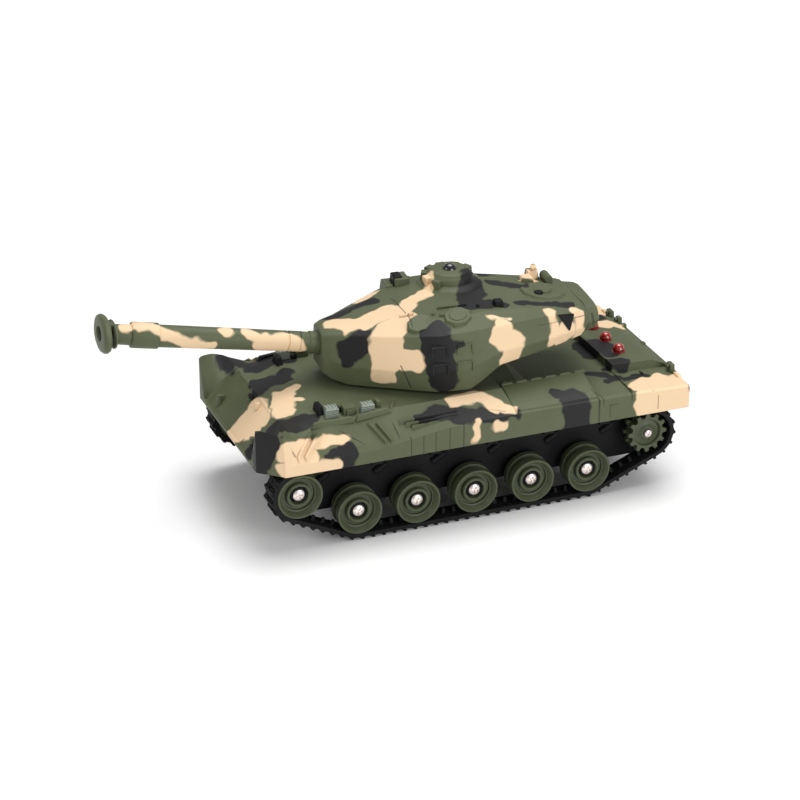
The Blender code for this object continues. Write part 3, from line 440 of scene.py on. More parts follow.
def wheel_place(node, side):
    """Turns a part made about Z, its face up, onto the axle of a node."""
    low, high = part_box(node)
    centre = (low + high) / 2
    return (Matrix.Translation((centre.x, 0, centre.z)) @ Matrix.Rotation(math.radians(-90 * side), 4, "X")
            @ Matrix.Scale(MM, 4))


def turned(bm, profile, segments=56):
    """A (radius, height) profile spun once round Z."""
    verts = [bm.verts.new((radius, 0, height)) for radius, height in profile]
    edges = [bm.edges.new(pair) for pair in zip(verts, verts[1:])]
    bmesh.ops.spin(bm, geom=verts + edges, cent=(0, 0, 0), axis=(0, 0, 1), angle=math.tau, steps=segments,
                   use_merge=True)
    bmesh.ops.remove_doubles(bm, verts=bm.verts, dist=0.001)
    return bm


wheel_paint = Finish("wheel_olive", Roughness=0.42, Specular_IOR_Level=0.35)
place = wheel_paint.place()
mottle = wheel_paint.noise(place, 0.5, 4.0)
wheel_paint.set("Base Color", wheel_paint.blend(mottle, (0.042, 0.052, 0.024, 1), (0.070, 0.083, 0.044, 1)))
wheel_paint.set("Roughness", 0.36 + mottle * 0.18)
wheel_paint.relief(wheel_paint.noise(place, 3.0, 2.0), 0.04, 0.4)

WHEEL_PROFILE = (
    (2.3, FACE - 4.6), (5.0, FACE - 4.6), (5.2, FACE - 2.5), (5.6, FACE - 2.1), (6.5, FACE - 2.1),
    (6.9, FACE - 2.5), (7.2, FACE - 4.5), (8.8, FACE - 4.5), (9.1, FACE - 3.3), (9.7, FACE - 3.0),
    (11.2, FACE - 0.5), (11.6, FACE), (RIM - 0.3, FACE), (RIM, FACE - 0.3), (RIM, FACE - 4.3),
    (RIM - 0.4, FACE - 4.6), (6.6, FACE - 5.2), (6.4, FACE - 5.6), (6.4, INSIDE + 4.6),
    (6.6, INSIDE + 4.2), (RIM - 0.4, INSIDE + 3.9), (RIM, INSIDE + 3.6), (RIM, INSIDE + 0.3),
    (RIM - 0.3, INSIDE), (2.3, INSIDE), (2.3, FACE - 4.6))
# Black ring in the bottom of each wheel's dish: the tub's stub end, and painted shade in the hub's well.
STUB_SHADE_PROFILE = ((2.4, FACE - 4.5), (2.4, FACE - 3.6), (4.2, FACE - 3.8), (4.85, FACE - 4.5),
               (2.4, FACE - 4.5))
SPROCKET_PROFILE = (
    (2.0, FACE - 3.0), (3.6, FACE - 3.0), (4.0, FACE - 3.6), (6.0, FACE - 4.6), (7.4, FACE - 4.6),
    (7.8, FACE - 3.0), (8.6, FACE - 2.5), (8.6, FACE - 5.2), (6.6, FACE - 6.0), (6.6, INSIDE + 4.4),
    (8.6, INSIDE + 3.8), (8.6, INSIDE + 1.4), (2.0, INSIDE + 1.4), (2.0, FACE - 3.0))
TEETH = 12
TOOTH_CORNERS = (-0.30, -0.16, 0.16, 0.30)
TOOTH_ROOT = 9.4
TOOTH_TIP = 11.7
TOOTH_RING = 8.2

screw_metal = moulded("screw_zinc", (0.78, 0.70, 0.66), 0.3, 0.2, Metallic=0.75)
screw = bmesh.new()
turned(screw, ((0, 0.9), (1.6, 0.82), (2.6, 0.5), (3.2, 0.0), (3.3, -0.4), (0, -0.4)), 32)
head_mesh = bpy.data.meshes.new("screw_blank")
screw.to_mesh(head_mesh)
screw.free()
cross = bmesh.new()
block(cross, (-2.0, -0.42, -0.1), (2.0, 0.42, 2))
block(cross, (-0.42, -2.0, -0.1), (0.42, 2.0, 2))
cross_mesh = bpy.data.meshes.new("screw_cross")
cross.to_mesh(cross_mesh)
cross.free()
head = bpy.data.objects.new("screw_blank", head_mesh)
slots = bpy.data.objects.new("screw_cross", cross_mesh)
for maker in (head, slots):
    bpy.context.scene.collection.objects.link(maker)
carve = head.modifiers.new("cross", "BOOLEAN")
carve.object = slots
carve.solver = "EXACT"
carve.use_self = True
screw_head = bpy.data.meshes.new_from_object(head.evaluated_get(bpy.context.evaluated_depsgraph_get()))
for maker in (head, slots):
    bpy.data.objects.remove(maker)

axles = ["road_wheel_%d" % (number + 1) for number in range(5)] + ["idler_wheel"]
for side_name, side in (("left", 1), ("right", -1)):
    for axle in axles:
        node = "%s_%s" % (axle, side_name)
        seat = wheel_place(node, side)
        wheel = bmesh.new()
        turned(wheel, WHEEL_PROFILE)
        shaped(wheel, node + "_face", seat, node, wheel_paint, (node,), 28)
        # The black ring round the screw is the stub's end and paints the shade in the hub's well.
        stub_shade = bmesh.new()
        turned(stub_shade, STUB_SHADE_PROFILE, 32)
        shaped(stub_shade, "hub_" + node, seat, "hull", black_plastic)
    for axle in axles + ["sprocket"]:
        node = "screw_%s_%s" % (axle, side_name)
        size = 0.66 if axle == "sprocket" else 1.0
        low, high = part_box(node)
        outer = max(abs(low.y), abs(high.y)) / MM
        bolt = bmesh.new()
        bolt.from_mesh(screw_head)
        stop = outer * side + len(axle)
        seat = (Matrix.Translation((0, 0, outer - 0.9 * size)) @ Matrix.Rotation(stop, 4, "Z")
                @ Matrix.Diagonal((size, size, size, 1)))
        bmesh.ops.transform(bolt, matrix=seat, verts=bolt.verts)
        body = "sprocket_" + side_name if axle == "sprocket" else "hull"
        shaped(bolt, node + "_head", wheel_place(node, side), body, screw_metal, (node,), 30)

    node = "sprocket_" + side_name
    sprocket = bmesh.new()
    turned(sprocket, SPROCKET_PROFILE)
    for low, high in ((FACE - 5.2, FACE - 2.6), (INSIDE + 1.2, INSIDE + 3.8)):
        count = TEETH * len(TOOTH_CORNERS)
        disc = bmesh.ops.create_circle(sprocket, radius=1, segments=count, cap_ends=False)["verts"]
        for number, vert in enumerate(disc):
            tooth, corner = divmod(number, len(TOOTH_CORNERS))
            angle = math.tau * (tooth + TOOTH_CORNERS[corner]) / TEETH
            reach = TOOTH_ROOT if corner in (0, 3) else TOOTH_TIP
            vert.co = (reach * math.cos(angle), reach * math.sin(angle), low)
        edges = [e for e in sprocket.edges if e.verts[0] in disc and e.verts[1] in disc]
        inner = bmesh.ops.create_circle(sprocket, radius=TOOTH_RING, segments=count, cap_ends=False)["verts"]
        for vert in inner:
            vert.co.z = low
        rim = [e for e in sprocket.edges if e.verts[0] in inner and e.verts[1] in inner]
        ring = bmesh.ops.bridge_loops(sprocket, edges=edges + rim)["faces"]
        lifted = bmesh.ops.extrude_face_region(sprocket, geom=ring)["geom"]
        moved = [v for v in lifted if isinstance(v, bmesh.types.BMVert)]
        bmesh.ops.translate(sprocket, vec=(0, 0, high - low), verts=moved)
    shaped(sprocket, node + "_face", wheel_place(node, side), node, wheel_paint, (node,), 30,
           bevel=0.2, steps=1)


# ---- Tracks ---------------------------------------------------------------------------------
# Black rubber belts round the wheels, with moulded link pads and cross bars outside and guide
# horns inside that run between the two discs of each wheel.
TRACK_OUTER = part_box("track_left")[1].y / MM
TRACK_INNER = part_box("track_left")[0].y / MM
CIRCLES = []
for node in ("idler_wheel_left", "sprocket_left", "road_wheel_5_left", "road_wheel_1_left"):
    low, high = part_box(node)
    middle = HULL.inverted() @ ((low + high) / 2)
    CIRCLES.append((middle.x, middle.z))


def belt(radius):
    """Places round the belt at a height above the wheels' centres."""
    spots = []
    for index, (x, z) in enumerate(CIRCLES):
        before = CIRCLES[index - 1]
        after = CIRCLES[(index + 1) % len(CIRCLES)]
        start = math.atan2(z - before[1], x - before[0]) - math.pi / 2
        sweep = (math.atan2(after[1] - z, after[0] - x) - math.pi / 2 - start) % math.tau
        steps = max(2, round(sweep / math.radians(7)))
        for step in range(steps + 1):
            angle = start + sweep * step / steps
            spots.append(Vector((x + radius * math.cos(angle), 0, z + radius * math.sin(angle))))
    return spots


def spaced(path, links):
    """Even places along a closed path, each with the direction along the path."""
    lengths = [(path[(i + 1) % len(path)] - path[i]).length for i in range(len(path))]
    total = sum(lengths)
    found = []
    for link in range(links):
        distance = total * (link + 0.5) / links
        i = 0
        while distance > lengths[i]:
            distance -= lengths[i]
            i += 1
        along = (path[(i + 1) % len(path)] - path[i]).normalized()
        found.append((path[i] + along * distance, along))
    return found, total / links


rubber = Finish("track_rubber", Roughness=0.62, Specular_IOR_Level=0.14)
place = rubber.place()
scuff = rubber.noise(place, 0.35, 5.0)
rubber.set("Base Color", rubber.blend(scuff, (0.003, 0.003, 0.0035, 1), (0.012, 0.012, 0.013, 1)))
rubber.set("Roughness", 0.5 + scuff * 0.25)
rubber.relief(rubber.noise(place, 2.0, 4.0), 0.12, 0.5)

LINKS = 84
BELT_INSIDE = RIM + 0.3
BELT_OUTSIDE = RIM + 2.5
PAD_SEAT = RIM + 2.4
for side_name, side in (("left", 1), ("right", -1)):
    track = bmesh.new()
    inner_path = belt(BELT_INSIDE)
    outer_path = belt(BELT_OUTSIDE)
    near, far = side * TRACK_INNER, side * TRACK_OUTER
    rings = [[(a.x, near, a.z), (a.x, far, a.z), (b.x, far, b.z), (b.x, near, b.z)]
             for a, b in zip(inner_path, outer_path)]
    rings.append(rings[0])
    skin(track, rings)
    bmesh.ops.remove_doubles(track, verts=track.verts, dist=0.002)
    spots, pitch = spaced(belt(PAD_SEAT), LINKS)
    width = TRACK_OUTER - TRACK_INNER
    for spot, along in spots:
        out = Vector((along.z, 0, -along.x))
        turn = Matrix((along, (0, 1, 0), -out)).transposed().to_4x4()
        turn = Matrix.Translation(spot + Vector((0, side * (TRACK_INNER + width / 2), 0))) @ turn
        block(track, (-0.75, -width / 2 + 0.1, -1.4), (0.75, width / 2 - 0.1, 0.3), 1.0, turn)
        block(track, (-pitch / 2 + 1.1, -width / 2 + 0.9, -0.75), (pitch / 2 - 1.1, -0.6, 0.2), 1.0, turn)
        block(track, (-pitch / 2 + 1.1, 0.6, -0.75), (pitch / 2 - 1.1, width / 2 - 0.9, 0.2), 1.0, turn)
        block(track, (-1.3, -1.1, 0.0), (1.3, 1.1, 5.0), 0.5, turn)
    shaped(track, "track_links_" + side_name, HULL, "hull", rubber, ("track_" + side_name,),
           30)


# ---- Turret ---------------------------------------------------------------------------------
# A camouflaged shell with sheer sides and a long bustle, drawn with the pan below it as one closed
# skin. It turns on its ring; hatches, handles, sight boxes and the stowage are moulded on.
TURRET_AXIS = [joint for joint in frame["joints"] if joint["name"] == "turret_yaw"][0]["pos_m"]
GUN_JOINT = [joint for joint in frame["joints"] if joint["name"] == "gun_elevation"][0]
YAW = math.asin(GUN_JOINT["axis"][0])
TURRET = (Matrix.Translation((TURRET_AXIS[0], TURRET_AXIS[1], 0)) @ Matrix.Rotation(YAW, 4, "Z")
          @ Matrix.Scale(MM, 4))
TURRET_FOOT = 70.1

# x, wall foot (y, z), waist (y, z), roof edge (y, z), inner roof (y, z), crown z
TURRET_STATIONS = (
    (64.0, (9.5, 76.0), (11.0, 85.0), (8.6, 97.0), (5.0, 98.6), 99.0),
    (60.0, (12.5, 73.0), (14.5, 84.5), (11.0, 98.0), (7.0, 99.8), 100.2),
    (52.0, (16.0, TURRET_FOOT), (19.5, 82.0), (14.5, 98.6), (8.0, 101.2), 101.6),
    (42.0, (22.0, TURRET_FOOT), (26.0, 82.5), (21.0, 99.6), (10.0, 103.0), 103.6),
    (30.0, (28.0, TURRET_FOOT), (33.0, 83.0), (28.5, 100.8), (16.0, 105.6), 106.4),
    (16.0, (35.5, TURRET_FOOT), (40.0, 83.5), (36.5, 102.2), (24.0, 107.8), 108.6),
    (6.0, (40.0, TURRET_FOOT), (43.6, 84.0), (40.8, 103.2), (30.0, 108.8), 110.0),
    (-10.0, (40.4, TURRET_FOOT), (43.8, 85.0), (40.6, 104.0), (30.0, 109.4), 110.4),
    (-16.0, (40.0, 73.5), (43.0, 86.5), (39.6, 104.0), (29.0, 109.4), 110.3),
    (-28.0, (37.6, 81.0), (40.0, 90.0), (36.6, 103.6), (27.0, 108.6), 109.4),
    (-58.0, (31.0, 84.0), (33.4, 91.0), (29.6, 102.4), (22.0, 105.6), 106.4),
    (-80.0, (22.6, 86.0), (26.4, 92.0), (23.4, 100.6), (17.0, 102.6), 103.0),
    (-80.8, (21.2, 86.8), (24.0, 92.6), (20.6, 100.0), (15.0, 101.6), 102.0),
    (-88.6, (19.4, 88.0), (22.4, 94.0), (18.6, 99.4), (13.0, 100.8), 101.2),
    (-90.0, (18.0, 89.2), (21.0, 94.0), (17.2, 98.6), (12.0, 99.8), 100.0),
)
turret_paint = Finish("turret_camouflage", Specular_IOR_Level=0.22)
shell = bmesh.new()
skin(shell, [both_sides([(x, 0.0, foot[1]), (x, *foot), (x, *waist), (x, *edge), (x, *roof), (x, 0.0, crown)])
             for x, foot, waist, edge, roof, crown in TURRET_STATIONS])
shaped(shell, "turret_cover", TURRET, "turret", turret_paint, ("turret_shell", "turret_base"),
       smooth=22, bevel=0.8)


def plate(bm, x, y, z, radius, height, sides=8, stretch=1.0, tilt=(0, 0), turn=0.0):
    """A low faceted lid with a chamfered edge, lying on the roof."""
    place = (Matrix.Translation((x, y, z)) @ Matrix.Rotation(tilt[0], 4, "X")
             @ Matrix.Rotation(tilt[1], 4, "Y") @ Matrix.Rotation(turn, 4, "Z")
             @ Matrix.Diagonal((stretch, 1, 1, 1)))
    bmesh.ops.create_cone(bm, cap_ends=True, segments=sides, radius1=radius, radius2=radius * 0.88,
                          depth=height + 1.5, matrix=place @ Matrix.Translation((0, 0, height / 2 - 0.75)))


def handle(bm, points, radius=0.55):
    """A grab handle: round bars joined at their corners."""
    for start, end in zip(points, points[1:]):
        rod(bm, start, end, radius, segments=8)
    for corner in points[1:-1]:
        bmesh.ops.create_uvsphere(bm, u_segments=8, v_segments=5, radius=radius,
                                  matrix=Matrix.Translation(corner))


CUPOLA_X, CUPOLA_Y = -15.0, -15.0
roof = bmesh.new()
plate(roof, 14.7, 27.4, 106.5, 6.6, 0.9, 8, 1.2, (-0.43, 0.12), 0.39)
plate(roof, -5.7, 30.0, 109.2, 7.4, 0.9, 8, 1.2, (-0.30, 0.0), 0.39)
plate(roof, -5.7, 30.2, 109.9, 5.0, 0.7, 8, 1.2, (-0.30, 0.0), 0.39)
plate(roof, -62.5, 3.6, 105.5, 12.0, 1.4, 10, 1.15, (-0.03, -0.12), 0.0)
rod(roof, (-62.5, 3.6, 105.6), (-62.4, 3.7, 108.0), 5.4, 4.9, 20)
for x, y, z in ((10.0, 26.5, 107.0), (20.0, 25.0, 106.0), (2.6, 27.0, 109.4), (-13.0, 27.5, 109.6),
                (6.0, 24.0, 109.0), (-20.0, 21.0, 109.8)):
    rod(roof, (x, y, z - 1), (x, y, z + 1.3), 1.2, 0.9, 12)
block(roof, (-15.0, 18.0, 108.0), (3.0, 19.0, 110.9), 0.9)
shaped(roof, "roof_hatches", TURRET, "turret", turret_paint, smooth=30, bevel=0.25, steps=1)

stowage = bmesh.new()
block(stowage, (6.0, -31.0, 103.0), (15.0, -19.0, 112.5), 0.9)
block(stowage, (2.0, -33.0, 103.0), (20.0, -21.0, 108.5), 0.92)
block(stowage, (-68.0, -23.0, 101.5), (-60.0, -15.0, 109.6), 0.7)
block(stowage, (-63.0, -18.0, 103.0), (-55.0, -9.0, 108.6), 0.7)
rod(stowage, (-71.0, -19.0, 106.0), (-71.0, -9.0, 106.4), 2.6, 2.4, 14)
rod(stowage, (-66.5, -20.0, 107.0), (-64.0, -17.0, 112.4), 1.6, 1.9, 10)
shaped(stowage, "turret_stowage", TURRET, "turret", turret_paint, smooth=30, bevel=0.5)

grips = bmesh.new()
for z in (85.6, 95.0):
    for x in (-6.2, 8.0):
        foot, top = 43.9 - (z - 88.2) * 0.168, 43.9 - (z - 81.8) * 0.168
        handle(grips, ((x - 4.2, foot, z - 2.6), (x - 4.0, top + 0.3, z + 2.8),
                       (x + 4.0, top + 0.3, z + 2.8), (x + 4.2, foot, z - 2.6)), 0.42)
handle(grips, ((22.5, 17.0, 106.6), (22.5, 17.6, 108.0), (16.0, 19.0, 109.0), (16.0, 18.6, 107.6)))
for x in (-40.0, -52.0, -64.0):
    handle(grips, ((x, -31.0, 96.0), (x, -36.0, 97.0), (x - 7.0, -34.5, 97.0), (x - 7.0, -30.0, 96.0)))
shaped(grips, "turret_handles", TURRET, "turret", turret_paint, smooth=40)

cupola = bmesh.new()
turned(cupola, ((0, 117.9), (9.6, 117.7), (10.8, 117.2), (11.4, 116.2), (12.4, 115.6), (13.0, 114.6),
                (13.4, 112.2), (15.6, 111.0), (17.6, 110.2), (18.7, 108.8), (18.9, 107.6),
                (18.9, 104.5), (0, 104.5)), 40)
bmesh.ops.translate(cupola, vec=(CUPOLA_X, CUPOLA_Y, 0), verts=cupola.verts)
for number in range(7):
    angle = math.radians(-150 + number * 32)
    spot = Vector((CUPOLA_X + 13.6 * math.cos(angle), CUPOLA_Y + 13.6 * math.sin(angle), 0))
    turn = Matrix.Translation(spot) @ Matrix.Rotation(angle, 4, "Z")
    block(cupola, (-1.8, -2.8, 110.5), (2.2, 2.8, 115.4), 0.9, turn)
shaped(cupola, "cupola_cover", TURRET, "turret", turret_paint, ("cupola",), smooth=32, bevel=0.25, steps=1)

eye = bmesh.new()
turned(eye, ((0, 120.6), (1.4, 120.5), (2.6, 119.9), (3.4, 118.9), (3.9, 118.2), (3.9, 117.0),
             (0, 117.0)), 24)
bmesh.ops.translate(eye, vec=(CUPOLA_X, CUPOLA_Y, 0), verts=eye.verts)
lens_black = moulded("receiver_lens", (0.006, 0.006, 0.008), 0.14, 0.1, Coat_Weight=0.6)
shaped(eye, "receiver_eye", TURRET, "turret", lens_black, ("infrared_receiver",), 40)


def flank(x, z):
    """How far out the bustle's leaning side wall stands."""
    return 42.9 + (x + 10.0) * 0.2417 + (95.0 - z) * 0.36


dark = bmesh.new()
block(dark, (9.2, -30.0, 105.0), (15.6, -20.0, 113.6), 0.75)
block(dark, (-34.5, 16.5, 107.0), (-29.0, 22.5, 111.4), 0.85)
rod(dark, (-58.9, 7.9, 106.4), (-58.9, 7.9, 108.3), 2.6, 2.6, 20)
# The black wedge on the bustle's flank fills a triangular opening: painted shade of its inside.
opening_shade = ((-62.6, 102.2), (-73.6, 100.6), (-69.8, 92.0))
skin(dark, [[(x, flank(x, z) + out, z) for x, z in opening_shade] for out in (-4.0, 1.0)])
shaped(dark, "turret_dark_fittings_and_opening_shade", TURRET, "turret", black_plastic, smooth=30,
       bevel=0.8)


# ---- Gun ------------------------------------------------------------------------------------
# Mantlet on trunnions in the turret's nose, a long tapered barrel with collars and a short
# sleeve, and a wide oval muzzle brake that is open to both sides; the firing game's emitter
# sits in the bore.
GUN_RAISED = math.radians(9.6)
GUN = (Matrix.Translation(GUN_JOINT["pos_m"]) @ Matrix.Rotation(YAW, 4, "Z")
       @ Matrix.Rotation(-GUN_RAISED, 4, "Y") @ Matrix.Scale(MM, 4))
GUN_REACH = 130.5
BRAKE_HALF_WIDTH = 17.6
BRAKE_HALF_HEIGHT = 8.75
ALONG = Matrix.Rotation(math.radians(90), 4, "Y")

gun_paint = Finish("gun_camouflage", Specular_IOR_Level=0.22)
barrel = bmesh.new()
turned(barrel, ((2.9, 122.6), (5.4, 122.6), (5.6, 113.6), (6.7, 113.4), (7.0, 112.9), (7.0, 99.1),
                (6.6, 98.6), (6.1, 98.4), (5.9, 70.0), (5.6, 28.0), (5.0, 27.8), (5.0, 27.1),
                (5.6, 26.9), (5.6, 21.4), (5.1, 21.2), (5.1, 20.7), (5.6, 20.5), (5.3, 16.0),
                (5.9, 15.4), (6.1, 9.5), (6.1, 4.0), (2.9, 4.0), (2.9, 122.6)))
bmesh.ops.transform(barrel, matrix=ALONG, verts=barrel.verts)
shaped(barrel, "barrel_tube", GUN, "gun", gun_paint, ("gun_barrel",), smooth=32)

shield = bmesh.new()
turned(shield, ((0, 9.4), (7.8, 9.4), (8.9, 8.9), (9.4, 7.8), (9.4, -7.8), (8.9, -8.9), (7.8, -9.4),
                (0, -9.4)), 40)
bmesh.ops.transform(shield, matrix=Matrix.Rotation(math.radians(90), 4, "X"), verts=shield.verts)
rod(shield, (6.0, 0, 0), (12.0, 0, 0), 7.2, 6.6, 28)
shaped(shield, "mantlet_cover", GUN, "gun", gun_paint, ("mantlet",), smooth=32)

brake = bmesh.new()
turned(brake, ((0.38, 129.2), (0.40, GUN_REACH), (0.78, GUN_REACH), (0.93, 129.9), (1.0, 128.7),
               (1.0, 127.6), (0.93, 126.4), (0.80, 126.0), (0.70, 128.2), (0.38, 129.2)), 48)
turned(brake, ((0.30, 122.4), (0.30, 123.6), (0.66, 124.0), (0.74, 123.6), (0.74, 122.8),
               (0.66, 122.4), (0.30, 122.4)), 48)
bmesh.ops.transform(brake, matrix=ALONG, verts=brake.verts)
bmesh.ops.scale(brake, vec=(1, BRAKE_HALF_WIDTH, BRAKE_HALF_HEIGHT), verts=brake.verts)
for tall in (1, -1):
    block(brake, (123.4, -2.8, tall * 5.4 - 0.9), (128.9, 2.8, tall * 5.4 + 0.9))
shaped(brake, "brake_cover", GUN, "gun", gun_paint, ("muzzle_brake",), smooth=40, bevel=0.25, steps=1)


# ---- Life lamps -----------------------------------------------------------------------------
# Three red lamps pressed up through the engine deck, which show how many lives are left: domed
# clear-red lenses on a flange, drawn unlit, with painted light that turns the red brighter towards
# the top of each dome.
lamp_red = Finish("lamp_lens", Roughness=0.12, Coat_Weight=0.8, IOR=1.5)
place = lamp_red.place()
depth = lamp_red.axes(place)[2]
# Painted light: the red brightens from the flange to the top of the dome.
painted_top_light = lamp_red.maths("MULTIPLY_ADD", depth, 0.16, -10.3, clamp=True)
lamp_red.set("Base Color", lamp_red.blend(painted_top_light, (0.06, 0.0, 0.0, 1), (0.34, 0.012, 0.006, 1)))
for number in range(3):
    node = "life_led_%d" % (number + 1)
    low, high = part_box(node)
    middle = HULL.inverted() @ ((low + high) / 2)
    lamp = bmesh.new()
    turned(lamp, ((0, 70.6), (1.4, 70.3), (2.5, 69.5), (3.1, 68.5), (3.3, 67.4), (3.3, 66.3), (3.9, 66.1),
                  (3.9, 64.0), (0, 64.0)), 32)
    bmesh.ops.translate(lamp, vec=(middle.x, middle.y, 0), verts=lamp.verts)
    shaped(lamp, node + "_lens", HULL, "hull", lamp_red, (node,), 40)


# ---- Camouflage -----------------------------------------------------------------------------
# Sprayed in three colours over the assembled covers: olive first, then charcoal and sand patches
# with slightly soft edges. Each patch is one or more rounded strokes from place to place.
OLIVE = (0.100, 0.113, 0.064, 1)
DEEP_OLIVE = (0.072, 0.085, 0.041, 1)
CHARCOAL = (0.011, 0.011, 0.011, 1)
SAND = (0.72, 0.53, 0.335, 1)
SEAM_SHADOW = (0.015, 0.017, 0.011, 1)
SPRAY_EDGE = 0.9
SEAM_EDGE = 3.0
SIDE_WALL = (1, 0.1, 1)
TOP_FACE = (1, 1, 0.1)
# Each stroke: where it starts, where it ends and its half width, on the resting tank.
HULL_CHARCOAL = (
    ((84, -15, 66), (72, -14, 67), 6), ((72, -14, 67), (66, -20, 68), 5), ((89, -6, 65), (84, -12, 66), 5),
    ((92, 6, 63), (93, 8, 62), 3.5), ((76, 37, 67), (85, 40, 66), 7), ((85, 40, 66), (94, 35, 61), 8),
    ((94, 35, 61), (101, 43, 60), 8), ((103, 52, 65), (106, 50, 56), 8), ((106, 50, 56), (106, 49, 48), 5),
    ((105, 29, 50), (104, 36, 51), 4), ((61, 58, 55), (62, 60, 49), 5), ((64, 58, 55), (73, 59, 54), 2.2),
    ((17, 51, 63), (7, 51, 64), 4), ((7, 51, 64), (-13, 56, 62), 5.5), ((-13, 56, 62), (-28, 59, 61), 5),
    ((-28, 59, 61), (-35, 60, 61), 3), ((-62, 51, 64), (-70, 54, 63), 3.5), ((-71, 57, 62), (-71, 60, 47), 8),
    ((-103, -5, 62), (-104, 9, 62), 5.5), ((-104, 29, 66), (-110, 31, 65.5), 6),
    ((-108, 4, 66), (-112, 16, 66), 7), ((-92, 30, 62), (-105, 39, 62), 3),
    ((-98, 42, 61), (-121, 42, 61), 2.8))
HULL_SAND = (
    ((-112, 60, 50), (-112, 60, 58), 5.5),
    ((93, 2, 62), (93, 18, 62), 5.5), ((98, 7, 57), (104, 8, 50), 8), ((98, 7, 57), (100, 18, 55), 6.5),
    ((79, 6, 67), (83, 23, 66), 6.5), ((79, 6, 67), (69, 0, 68), 4), ((78, 10, 67), (71, 14, 68), 3),
    ((95, 58, 60), (87, 55, 60), 5.5), ((87, 55, 60), (71, 52, 60), 4), ((71, 52, 60), (60, 53, 60), 3),
    ((97, 60, 50), (69, 60, 49), 4.5), ((83, 58, 55), (90, 58, 56), 6), ((-5, 46, 68), (-19, 45, 68), 5),
    ((-19, 45, 68), (-27, 53, 64), 5), ((-27, 53, 64), (-34, 57, 62), 3), ((-13, 60, 58), (-12, 60, 51), 2.5),
    ((-24, 60, 56), (-28, 60, 54), 3), ((-113, 53, 61), (-127, 49, 61), 7),
    ((-131, 60, 57), (-113, 60, 53), 7), ((-115, 60, 50), (-137, 60, 50), 7),
    ((-134, 56, 58), (-137, 50, 59), 6), ((-123, -20, 66), (-132, -18, 64), 5))
TURRET_CHARCOAL = (
    ((44, -12, 99), (30, -15, 103), 5), ((30, -15, 103), (20, -13, 106), 5), ((43, 13, 91), (35, 17, 96), 7),
    ((44, 14, 85), (44, 14, 88), 4), ((0, 34, 106), (3, 39, 101), 6), ((3, 39, 101), (1, 42, 88), 9),
    ((1, 42, 88), (-2, 41, 78), 8), ((-6, 41, 98), (-12, 42, 99), 2), ((-35, -5, 112), (-27, 17, 111), 8),
    ((-22, 21, 111), (-41, 22, 109), 5), ((-49, -8, 108), (-64, 2, 108), 4),
    ((-52, 22, 107), (-82, 26, 103), 3.2))
TURRET_SAND = (
    ((46, -3, 101), (39, 5, 102), 5), ((39, 5, 102), (30, 7, 104), 5.5), ((30, 7, 104), (19, 5, 106), 7),
    ((19, 5, 106), (12, 11, 109), 6.5), ((12, 11, 109), (3, 3, 109), 5), ((3, 3, 109), (-7, -3, 110), 4.2),
    ((-7, -3, 110), (-11, -12, 117), 4.5), ((13, 16, 108), (21, 20, 103), 7),
    ((21, 20, 103), (26, 24, 99), 8), ((26, 24, 99), (26, 27, 90), 9.5), ((26, 27, 90), (28, 25, 80), 7),
    ((19, 31, 90), (13, 35, 90), 6),
    ((-31, 34, 107), (-42, 35, 105), 1.7), ((-36, 39, 103), (-34, 40, 99), 5.2),
    ((-34, 40, 99), (-41, 41, 92), 6.5), ((-41, 41, 92), (-40, 41, 86), 7),
    ((-67, 32, 103), (-67, 37, 89), 3.5), ((-73, 36, 90), (-76, 35, 92), 6),
    ((-83, 31, 101), (-84, 31, 87), 3.5), ((-74, -8, 110), (-71, -10, 109), 5))
GUN_SAND = (
    ((158, -13, 113.2), (145, -11, 111.5), 4), ((145, -11, 111.5), (137, -8, 106.7), 3.5),
    ((137, -8, 106.7), (126, -7, 101), 3.3), ((126, -7, 101), (114, -6, 97.8), 3.2),
    ((105, -8, 104.5), (104, -8, 104.5), 3.4), ((94, -7, 101.8), (86, -3, 96), 4),
    ((86, -3, 95), (68, -2, 91.4), 6))
# Seams and edges of moulded panels, grouped by the direction they are flattened along.
HULL_SEAMS = (
    (SIDE_WALL, (((-5, 60, 46), (-5, 60, 60), 0.35), ((-84.5, 60, 46), (-84.5, 60, 60), 0.45),
                 ((-91, 60, 49), (-91, 60, 56), 0.25), ((-91, 60, 56), (-96, 60, 56), 0.25),
                 ((-120, 60, 49), (-120, 60, 57), 0.25), ((25, 60, 47), (25, 60, 57), 0.3),
                 ((18, 60, 47), (18, 60, 57), 0.25), ((11, 60, 47), (11, 60, 58), 0.25),
                 ((3, 60, 47), (3, 60, 59), 0.25))),
    (TOP_FACE, (((-84.5, 60, 60), (-81, 44, 60), 0.45), ((-87, 60, 60), (-83.5, 44, 60), 0.35),
                ((-104, 60, 60), (-104.5, 34, 60), 0.4), ((89.5, 58, 58), (95.5, 52, 58), 0.3),
                ((90, -30, 60), (90, 36, 60), 0.4), ((62, 49, 60), (50, 57, 60), 0.35),
                ((50, 57, 60), (64, 59, 60), 0.35), ((33, 47, 60), (31, 58, 60), 0.35),
                ((0, 47, 60), (-30, 57, 60), 0.3), ((-40, 44, 60), (-80, 46, 60), 0.3),
                ((-40, 53, 60), (-80, 54, 60), 0.3))))
